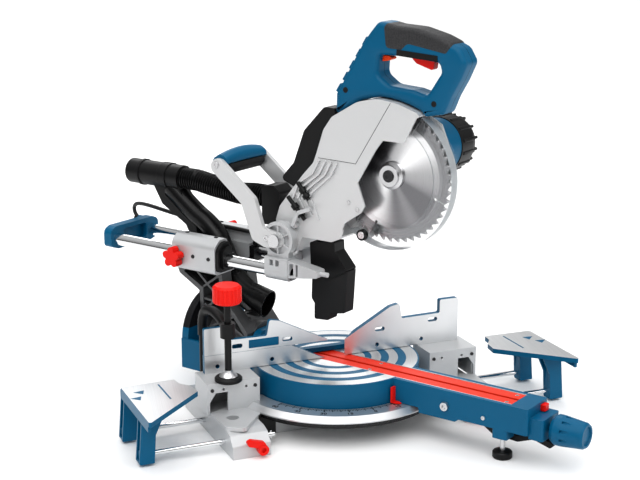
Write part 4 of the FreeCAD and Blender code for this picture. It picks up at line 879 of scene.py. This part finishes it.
def add_ribbed_hose(bm, path, radius, pitch):
    """Corrugated tube along a path: rings pulled on from one end."""
    points = [Vector(p) for p in path]
    total = sum((b - a).length for a, b in zip(points, points[1:]))
    ribs = round(total / pitch)
    stations = ribs * 4
    crest = (1.0, 1.0, 0.84, 0.84)

    def along(share):
        left = share * total
        for a, b in zip(points, points[1:]):
            if left <= (b - a).length + 1e-6:
                return a.lerp(b, left / (b - a).length), (b - a).normalized()
            left -= (b - a).length
        return points[-1], (points[-1] - points[-2]).normalized()

    ring = None
    for i in range(stations + 1):
        fresh = bmesh.ops.create_circle(bm, segments=36, radius=radius * crest[i % 4],
                                        matrix=spot(*along(i / stations)))["verts"]
        edges = list({e for v in fresh for e in v.link_edges})
        if ring:
            bmesh.ops.bridge_loops(bm, edges=ring + edges)
        ring = edges


HOSE_MEETING = (0, 227, 347)
HOSES = (
    ("hose_rear_ribs", "hose_rear", "tilt_arm", "carriage", (0, 325, 355), HOSE_MEETING,
     [(0, 326, 355), (0, 292, 355), (0, 258, 350), HOSE_MEETING]),
    ("hose_front_ribs", "hose_front", "carriage", "head", (0, 225, 347), (0, 140, 347),
     [HOSE_MEETING, (0, 196, 344), (0, 166, 347), (0, 138, 347)]))


class SAW_OT_hose(Piece):
    """Corrugated dust hose in two lengths that meet above the rails."""
    bl_idname = "saw.hose"
    bl_label = "Dust hose"

    def execute(self, context):
        for name, node, first, second, start, end, path in HOSES:
            bm = bmesh.new()
            add_ribbed_hose(bm, path, sizes().hose_radius, sizes().hose_rib_pitch)
            piece = finish_piece(bm, name, None, "glossy_moulding", smooth=30)
            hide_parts(node)
            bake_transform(piece)
        return {"FINISHED"}


NUMBER_RADIUS = 0.1605
NUMBER_HEIGHT = 0.0521


class SAW_OT_scale_numbers(Piece):
    """Angle numbers on the mitre scale."""
    bl_idname = "saw.scale_numbers"
    bl_label = "Scale numbers"

    def execute(self, context):
        made = []
        for degrees in (-60, -45, -30, -15, 0, 15, 30, 45, 60):
            words = bpy.data.curves.new("number", "FONT")
            words.body = str(abs(degrees))
            words.size, words.offset = 0.0105, 0.00022
            words.extrude = 0.0001
            words.align_x, words.align_y = "CENTER", "CENTER"
            holder = bpy.data.objects.new("number", words)
            context.scene.collection.objects.link(holder)
            turn = Matrix.Rotation(radians(degrees), 4, "Z")
            holder.matrix_world = turn @ Matrix.Translation((0, -NUMBER_RADIUS, NUMBER_HEIGHT))
            made.append(holder)
        context.view_layer.update()
        bm = bmesh.new()
        for holder in made:
            add_shape_of(bm, holder, holder.matrix_world.copy())
        bmesh.ops.transform(bm, matrix=Matrix.Scale(1 / MM, 4), verts=bm.verts)
        finish_piece(bm, "scale_numbers", "base", "ink", turned=False)
        return {"FINISHED"}


TABLE_HEIGHT = 91.5
MARK_RISE = 0.25


class SAW_OT_base_fittings(Piece):
    """Screws and sunk details of the base, fences and extensions."""
    bl_idname = "saw.base_fittings"
    bl_label = "Base fittings"

    def execute(self, context):
        bm = bmesh.new()
        for side in (-1, 1):
            for x, z in ((232, 86), (160, 86)):
                add_socket_screw(bm, (side * x, -47, z - 6), (0, -1, 0), 3.0, 1.6)
            for x in (110, 178):
                add_socket_screw(bm, (side * x, 8, 112), (0, 1, 0), 5.0, 4.0)
        for degrees in (-72, -34, 34, 72):
            turn = radians(degrees - 90)
            add_socket_screw(bm, (162 * cos(turn), 162 * sin(turn), 46), "w", 3.2, 1.4)
        finish_piece(bm, "base_screws", "base", "dark_steel", turned=False)
        bm = bmesh.new()
        add_block(bm, (-153, -0.35, 125.5), (-101.5, 0.6, 139.5), 0.25)
        finish_piece(bm, "fence_plate", "sliding_fence", "blue_paint", turned=False)
        bm = bmesh.new()
        add_turned(bm, [(5.6, 101), (14.5, 101), (13.5, 103), (9, 106.5), (7, 108), (6.9, 111), (5.6, 111)],
                   (-204, -45, 0), "w")
        finish_piece(bm, "clamp_cone", "clamp_spindle", "bright_steel", turned=False)
        for side, body in ((-1, "left_extension"), (1, "right_extension")):
            bm = bmesh.new()
            arrows = [[(x + 17, y - 3), (x - 1, y), (x + 4, y - 15)] for x, y in ((340, -33), (351, -57))]
            line = [(312.2, -16), (309.6, -16), (309.6, -84), (312.2, -84)]
            for mark in (*arrows, line):
                add_plate(bm, [(side * x, y) for x, y in mark], "w", TABLE_HEIGHT, TABLE_HEIGHT + MARK_RISE)
            finish_piece(bm, body + "_marks", body, "blue_paint", turned=False)
        return {"FINISHED"}


class SAW_OT_table_fittings(Piece):
    """Bolt on the side of the table's arm and the foot's rubber disc."""
    bl_idname = "saw.table_fittings"
    bl_label = "Table fittings"

    def execute(self, context):
        bm = bmesh.new()
        add_socket_screw(bm, (-33, -232, 66), (-1, 0, 0), 7.5, 5.0)
        add_socket_screw(bm, (-33, -300, 62), (-1, 0, 0), 3.6, 2.0)
        finish_piece(bm, "arm_bolts", "turntable", "bright_steel")
        bm = bmesh.new()
        disc = [(4.1, 0), (14, 0.05), (15.4, 1.6), (15.4, 9.4), (14, 11.2), (8, 12.4), (4.1, 12.6)]
        add_turned(bm, disc, (-20, -328, 0), "w")
        finish_piece(bm, "foot_disc", "front_foot", "black_moulding")
        bm = bmesh.new()
        for u in (-25.5, 24.2):
            add_block(bm, (u, -344, 87.6), (u + 1.3, 50, 91.6), 0.3)
        finish_piece(bm, "insert_edges", "turntable", "milled")
        return {"FINISHED"}


class SAW_OT_slide_fittings(Piece):
    """Screws of the rail housing, brackets and carrying handle."""
    bl_idname = "saw.slide_fittings"
    bl_label = "Slide fittings"

    def execute(self, context):
        bm = bmesh.new()
        for side in (-1, 1):
            for v in (214, 248):
                add_socket_screw(bm, (side * 70, v, 240), (side, 0, 0), 3.4, 1.5)
            for v in (216, 280):
                add_socket_screw(bm, (side * 46, v, 273), "w", 3.6, 1.5)
        finish_piece(bm, "housing_screws", "tilt_arm", "dark_steel")
        bm = bmesh.new()
        for side in (-1, 1):
            add_socket_screw(bm, (side * 61, 200, 403), (side, 0, 0), 6.0, 2.4)
            add_socket_screw(bm, (side * 61, 96, 293), (side, 0, 0), 5.0, 2.4)
            add_socket_screw(bm, (side * 61, 86, 284), (side, 0, 0), 4.0, 2.4)
            add_socket_screw(bm, (side * 45, 463, 238), "v", 4.0, 1.4)
        finish_piece(bm, "carriage_screws", "carriage", "bright_steel")
        return {"FINISHED"}


def along_line(a, b, share):
    return (a[0] + (b[0] - a[0]) * share, a[1] + (b[1] - a[1]) * share)


def add_strip(bm, start, end, width, low, high, rounding=0.0):
    """A straight bar between two (v, w) places, from low to high along u."""
    a, b = Vector(start), Vector(end)
    across = Vector((-(b - a).y, (b - a).x)).normalized() * width / 2
    add_plate(bm, [a + across, a - across, b - across, b + across], "u", low, high, rounding)


def rounded(points, steps=6):
    """Corner points with radii, as an outline whose corners are arcs."""
    outline = []
    for i, point in enumerate(points):
        corner, radius = Vector(point[:2]), point[2] if len(point) > 2 else 0
        before, after = Vector(points[i - 1][:2]) - corner, Vector(points[(i + 1) % len(points)][:2]) - corner
        half = before.angle(after) / 2
        if radius == 0 or half > radians(88):
            outline.append(corner)
            continue
        reach = min(radius / tan(half), before.length * 0.48, after.length * 0.48)
        radius = reach * tan(half)
        middle = corner + (before.normalized() + after.normalized()).normalized() * radius / sin(half)
        first = corner + before.normalized() * reach - middle
        last = corner + after.normalized() * reach - middle
        sweep = first.angle_signed(last)
        outline += [middle + Matrix.Rotation(-sweep * k / steps, 2) @ first for k in range(steps + 1)]
    return outline


def add_pillowed(bm, outlines, half, rounding, steps=5):
    """A plate across u with rounded rims: the first outline, less the windows in the others."""
    shape = bpy.data.curves.new("outline", "CURVE")
    shape.dimensions, shape.fill_mode = "2D", "BOTH"
    shape.extrude, shape.bevel_depth = half - rounding, rounding
    shape.offset, shape.bevel_resolution = -rounding, steps
    for outline in outlines:
        line = shape.splines.new("POLY")
        line.points.add(len(outline) - 1)
        for point, place in zip(line.points, outline):
            point.co = (place[0], place[1], 0, 1)
        line.use_cyclic_u = True
    holder = bpy.data.objects.new("outline", shape)
    bpy.context.scene.collection.objects.link(holder)
    add_shape_of(bm, holder, SIDEWAYS)
    bmesh.ops.remove_doubles(bm, verts=bm.verts, dist=CURVE_DOUBLES)


HANDLE_OUTLINE = [(-12, 536, 6), (-20, 548, 10), (-42, 586, 30), (-62, 619, 30), (-76, 637, 20),
                  (-90, 653, 14), (-104, 652, 10), (-120, 648, 30), (-160, 646, 60), (-199, 636, 40),
                  (-234, 621, 16), (-247, 600, 12), (-234, 572, 20), (-219, 546, 10), (-208, 520, 10),
                  (-176, 514, 4), (-168, 521.5), (-150, 528.5), (-132, 533, 20), (-114, 536),
                  (-96, 537, 30), (-78, 533.5), (-60, 529, 20), (-40, 518), (-19, 505), (-11, 506, 3)]
HANDLE_WINDOW = [(-92, 602, 8), (-130, 602, 4), (-199, 597, 8), (-203, 583, 8), (-179, 547, 8),
                 (-154, 553, 20), (-112, 556, 20), (-90, 571, 12)]


class SAW_OT_handle(Piece):
    """Moulded handle: two rounded halves round a window."""
    bl_idname = "saw.handle"
    bl_label = "Handle"

    def execute(self, context):
        bm = bmesh.new()
        add_pillowed(bm, [rounded(HANDLE_OUTLINE), rounded(HANDLE_WINDOW)[::-1]], 21, 8.5)
        shell = finish_piece(bm, "handle_shell", "head", "shell_halves", smooth=50)
        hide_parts("handle_left", "handle_right")
        return {"FINISHED"}


class SAW_OT_grip(Piece):
    """Pebbled rubber over the top and sides of the grip."""
    bl_idname = "saw.grip"
    bl_label = "Grip"

    def execute(self, context):
        outline = rounded([(-97, 653, 12), (-120, 648.8, 30), (-160, 646.8, 60), (-199, 637, 40),
                           (-228, 625.5, 12), (-214, 606.5, 10), (-146, 617.5, 6), (-136, 607.5, 8),
                           (-102, 609, 12)])
        bm = bmesh.new()
        add_pillowed(bm, [outline], 21.9, 8.5)
        pad = finish_piece(bm, "grip_rubber", "head", "grip_rubber", smooth=50)
        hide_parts("grip_pad")
        return {"FINISHED"}


class SAW_OT_dust_pipe(Piece):
    """Black dust pipe that flares into the funnel behind the blade."""
    bl_idname = "saw.dust_pipe"
    bl_label = "Dust pipe"

    def execute(self, context):
        route = [((0, 141, 157), 1.45), ((0, 160, 163), 1.36), ((0, 182, 172), 1.12), ((0, 206, 188), 1.0),
                 ((0, 226, 216), 1.0), ((0, 245, 258), 1.0), ((0, 272, 282), 1.0), ((0, 304, 298), 1.0),
                 ((0, 352, 336), 1.0)]
        tube = bpy.data.curves.new("dust_pipe", "CURVE")
        tube.dimensions = "3D"
        line = tube.splines.new("NURBS")
        line.points.add(len(route) - 1)
        for point, (place, wide) in zip(line.points, route):
            point.co, point.radius = (*place, 1), wide
        line.order_u, line.use_endpoint_u, line.resolution_u = 3, True, 10
        tube.bevel_depth, tube.bevel_resolution = 18, 12
        holder = bpy.data.objects.new("dust_pipe", tube)
        context.scene.collection.objects.link(holder)
        bm = bmesh.new()
        add_shape_of(bm, holder, Matrix())
        bmesh.ops.remove_doubles(bm, verts=bm.verts, dist=CURVE_DOUBLES)
        flare_start, flare_length, narrowing = 196, 40, 0.27
        for vert in bm.verts:
            near_mouth = min(1.0, max(0.0, (flare_start - vert.co.y) / flare_length))
            vert.co.x *= 1 - narrowing * near_mouth
        bmesh.ops.recalc_face_normals(bm, faces=bm.faces)
        bmesh.ops.solidify(bm, geom=bm.faces, thickness=2.0)
        pipe = finish_piece(bm, "dust_pipe_moulded", "tilt_arm", "glossy_moulding",
                            smooth=50)
        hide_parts("dust_pipe")
        return {"FINISHED"}


class SAW_OT_motor_cover(Piece):
    """Ribbed black cover of the motor's end."""
    bl_idname = "saw.motor_cover"
    bl_label = "Motor cover"

    def execute(self, context):
        bm = bmesh.new()
        centre = (0, -148, 455)
        add_turned(bm, [(43.8, 68), (45.4, 69), (45.4, 100), (44, 108), (39, 120), (33, 127), (24, 128.5),
                        (22, 126.5), (12, 126.5), (10, 129), (0.01, 129)], centre, "u")
        for i in range(14):
            turn = Matrix.Translation(centre) @ Matrix.Rotation(2 * pi * i / 14, 4, "X")
            add_block(bm, (74, -3.0, 42), (108, 3.0, 46.8), 1.2, turn)
            add_block(bm, (100, -2.2, 36), (121, 2.2, 43.6), 0.8, turn)
        cover = finish_piece(bm, "motor_cover", "head", "black_moulding", smooth=30)
        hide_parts("motor_cap")
        return {"FINISHED"}


class SAW_OT_carry_handle(Piece):
    """Crowned top of the carrying handle."""
    bl_idname = "saw.carry_handle"
    bl_label = "Carrying handle"

    def execute(self, context):
        bm = bmesh.new()
        half = 53.0
        section = rounded([(182, 404, 3), (184, 414, 9), (198, 421, 9), (212, 412, 9), (216, 401, 4)])
        add_plate(bm, section, "u", -half, half)
        along = [e for e in bm.edges if abs(e.verts[0].co.x - e.verts[1].co.x) > half]
        bmesh.ops.subdivide_edges(bm, edges=along, cuts=14, use_grid_fill=True)
        for vert in bm.verts:
            share = 1 - (vert.co.x / half) ** 2
            vert.co.z += 7.0 * share * max(0.0, (vert.co.z - 401) / 20)
        grip = finish_piece(bm, "carry_grip_top", "carriage", "blue_shell")
        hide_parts("carry_grip")
        return {"FINISHED"}


class SAW_OT_head_fittings(Piece):
    """Seams, ribs and screws of the blade housing and handle."""
    bl_idname = "saw.head_fittings"
    bl_label = "Head fittings"

    def execute(self, context):
        skin = -30.0
        bm = bmesh.new()
        seam = [(-121.7, 531.5), (-58.3, 429.9), (-13.8, 431.0), (14.0, 431.5)]
        for start, end in zip(seam, seam[1:]):
            add_strip(bm, start, end, 0.7, skin - 0.25, skin + 0.3)
        finish_piece(bm, "housing_seam", "head", "shadow")
        bm = bmesh.new()
        for shift in (-11.0, 0.5, 12.1, 24.3):
            rib = [(-13.8 + shift, 428), (-1.7 + shift, 406), (33.6 + shift * 0.7, 377 + shift * 0.4),
                   (42.6 + shift * 0.8, 361)]
            for start, end in zip(rib, rib[1:]):
                add_strip(bm, start, end, 3.4, skin - 5.0, skin + 0.5, 0.9)
        finish_piece(bm, "housing_ribs", "head", "pale_casting")
        bm = bmesh.new()
        for v, w in ((-45.1, 366.4), (-62.3, 356.3)):
            add_socket_screw(bm, (skin, v, w), (-1, 0, 0), 3.8, 2.0)
        finish_piece(bm, "housing_screws_front", "head", "bright_steel")
        bm = bmesh.new()
        for start, end in (((57.5, 315.2), (45.9, 339)), ((45.9, 339), (21.5, 348.5))):
            add_strip(bm, start, end, 6.5, skin - 14, skin - 7, 1.5)
        add_rod(bm, (skin - 10, 56, 316), (1, 0, 0), 5.0, 11, rounding=0.8)
        finish_piece(bm, "stop_hook", "head", "silver_casting")
        bm = bmesh.new()
        add_turned(bm, [(0.01, -13.2), (3.8, -13.2), (4.2, -14.4), (8.6, -14.4), (9.6, -13.4), (9.6, -11.5)],
                   (0, -108, 413), "u")
        finish_piece(bm, "blade_bolt", "blade", "dark_steel")
        bm = bmesh.new()
        add_turned(bm, [(0.01, -26.9), (2.2, -26.9), (2.6, -27.3), (5.4, -27.3), (6.0, -26.8), (6.0, -25.5)],
                   (0, -67, 315), "u")
        finish_piece(bm, "roller_washer", "lower_guard", "bright_steel")
        bm = bmesh.new()
        for u, facing in ((-21, -1), (21, 1)):
            for v, w in ((-32.1, 543.1), (-193.2, 535.4)):
                add_socket_screw(bm, (u, v, w), (facing, 0, 0), 4.6, 0.7)
        finish_piece(bm, "handle_screws", "head", "shadow")
        bm = bmesh.new()
        low, high = (-8, 533), (-72, 633)
        for i in range(5):
            start = along_line(low, high, 0.05 + 0.19 * i)
            end = along_line(low, high, 0.17 + 0.19 * i)
            inward = Vector((0.84, 0.54)) * -0.8
            add_strip(bm, Vector(start) + inward, Vector(end) + inward, 6.4, -14, 14, 2.4)
        finish_piece(bm, "handle_louvres", "head", "blue_shell")
        bm = bmesh.new()
        add_strip(bm, (-126, 608), (-198, 603.5), 9.0, -21.8, 21.8, 1.2)
        finish_piece(bm, "trigger_surround", "head", "black_moulding")
        return {"FINISHED"}


class SAW_OT_blade_tips(Piece):
    """Hard metal tips on the blade's teeth."""
    bl_idname = "saw.blade_tips"
    bl_label = "Blade tips"

    def execute(self, context):
        bm = bmesh.new()
        teeth = 48
        for i in range(teeth):
            turn = 2 * pi * i / teeth
            place = (Matrix.Translation(BLADE_CENTRE) @ Matrix.Rotation(turn, 4, "X")
                     @ Matrix.Translation((0, 105.4, 0.9)))
            add_block(bm, (-1.15, -2.4, -0.8), (1.15, 2.3, 0.8), turn=place)
        finish_piece(bm, "blade_tips", "blade", "bright_steel")
        return {"FINISHED"}


PIECES = [SAW_OT_finishes, SAW_OT_stage, SAW_OT_cable, SAW_OT_hose, SAW_OT_scale_numbers,
          SAW_OT_handle, SAW_OT_grip, SAW_OT_dust_pipe, SAW_OT_motor_cover, SAW_OT_carry_handle,
          SAW_OT_base_fittings, SAW_OT_table_fittings, SAW_OT_slide_fittings,
          SAW_OT_head_fittings, SAW_OT_blade_tips]


class SAW_PT_panel(bpy.types.Panel):
    """Sidebar list of the saw's pieces and settings."""
    bl_idname = "SAW_PT_panel"
    bl_label = "Mitre Saw"
    bl_space_type = "VIEW_3D"
    bl_region_type = "UI"
    bl_category = "Mitre Saw"

    def draw(self, context):
        for piece in PIECES:
            self.layout.operator(piece.bl_idname)
        for group in ("saw_colours", "saw_sizes", "saw_stage"):
            settings = getattr(context.scene, group)
            for name in settings.bl_rna.properties.keys():
                if name not in {"rna_type", "name"}:
                    self.layout.prop(settings, name)


CLASSES = [SawColours, SawSizes, StageSettings, *PIECES, SAW_PT_panel]


def register():
    for made in CLASSES:
        bpy.utils.register_class(made)
    bpy.types.Scene.saw_colours = bpy.props.PointerProperty(type=SawColours)
    bpy.types.Scene.saw_sizes = bpy.props.PointerProperty(type=SawSizes)
    bpy.types.Scene.saw_stage = bpy.props.PointerProperty(type=StageSettings)


def unregister():
    for name in ("saw_stage", "saw_sizes", "saw_colours"):
        delattr(bpy.types.Scene, name)
    for made in reversed(CLASSES):
        bpy.utils.unregister_class(made)


def main():
    register()
    for piece in PIECES:
        space, name = piece.bl_idname.split(".")
        getattr(getattr(bpy.ops, space), name)()


if __name__ == "__main__":
    main()
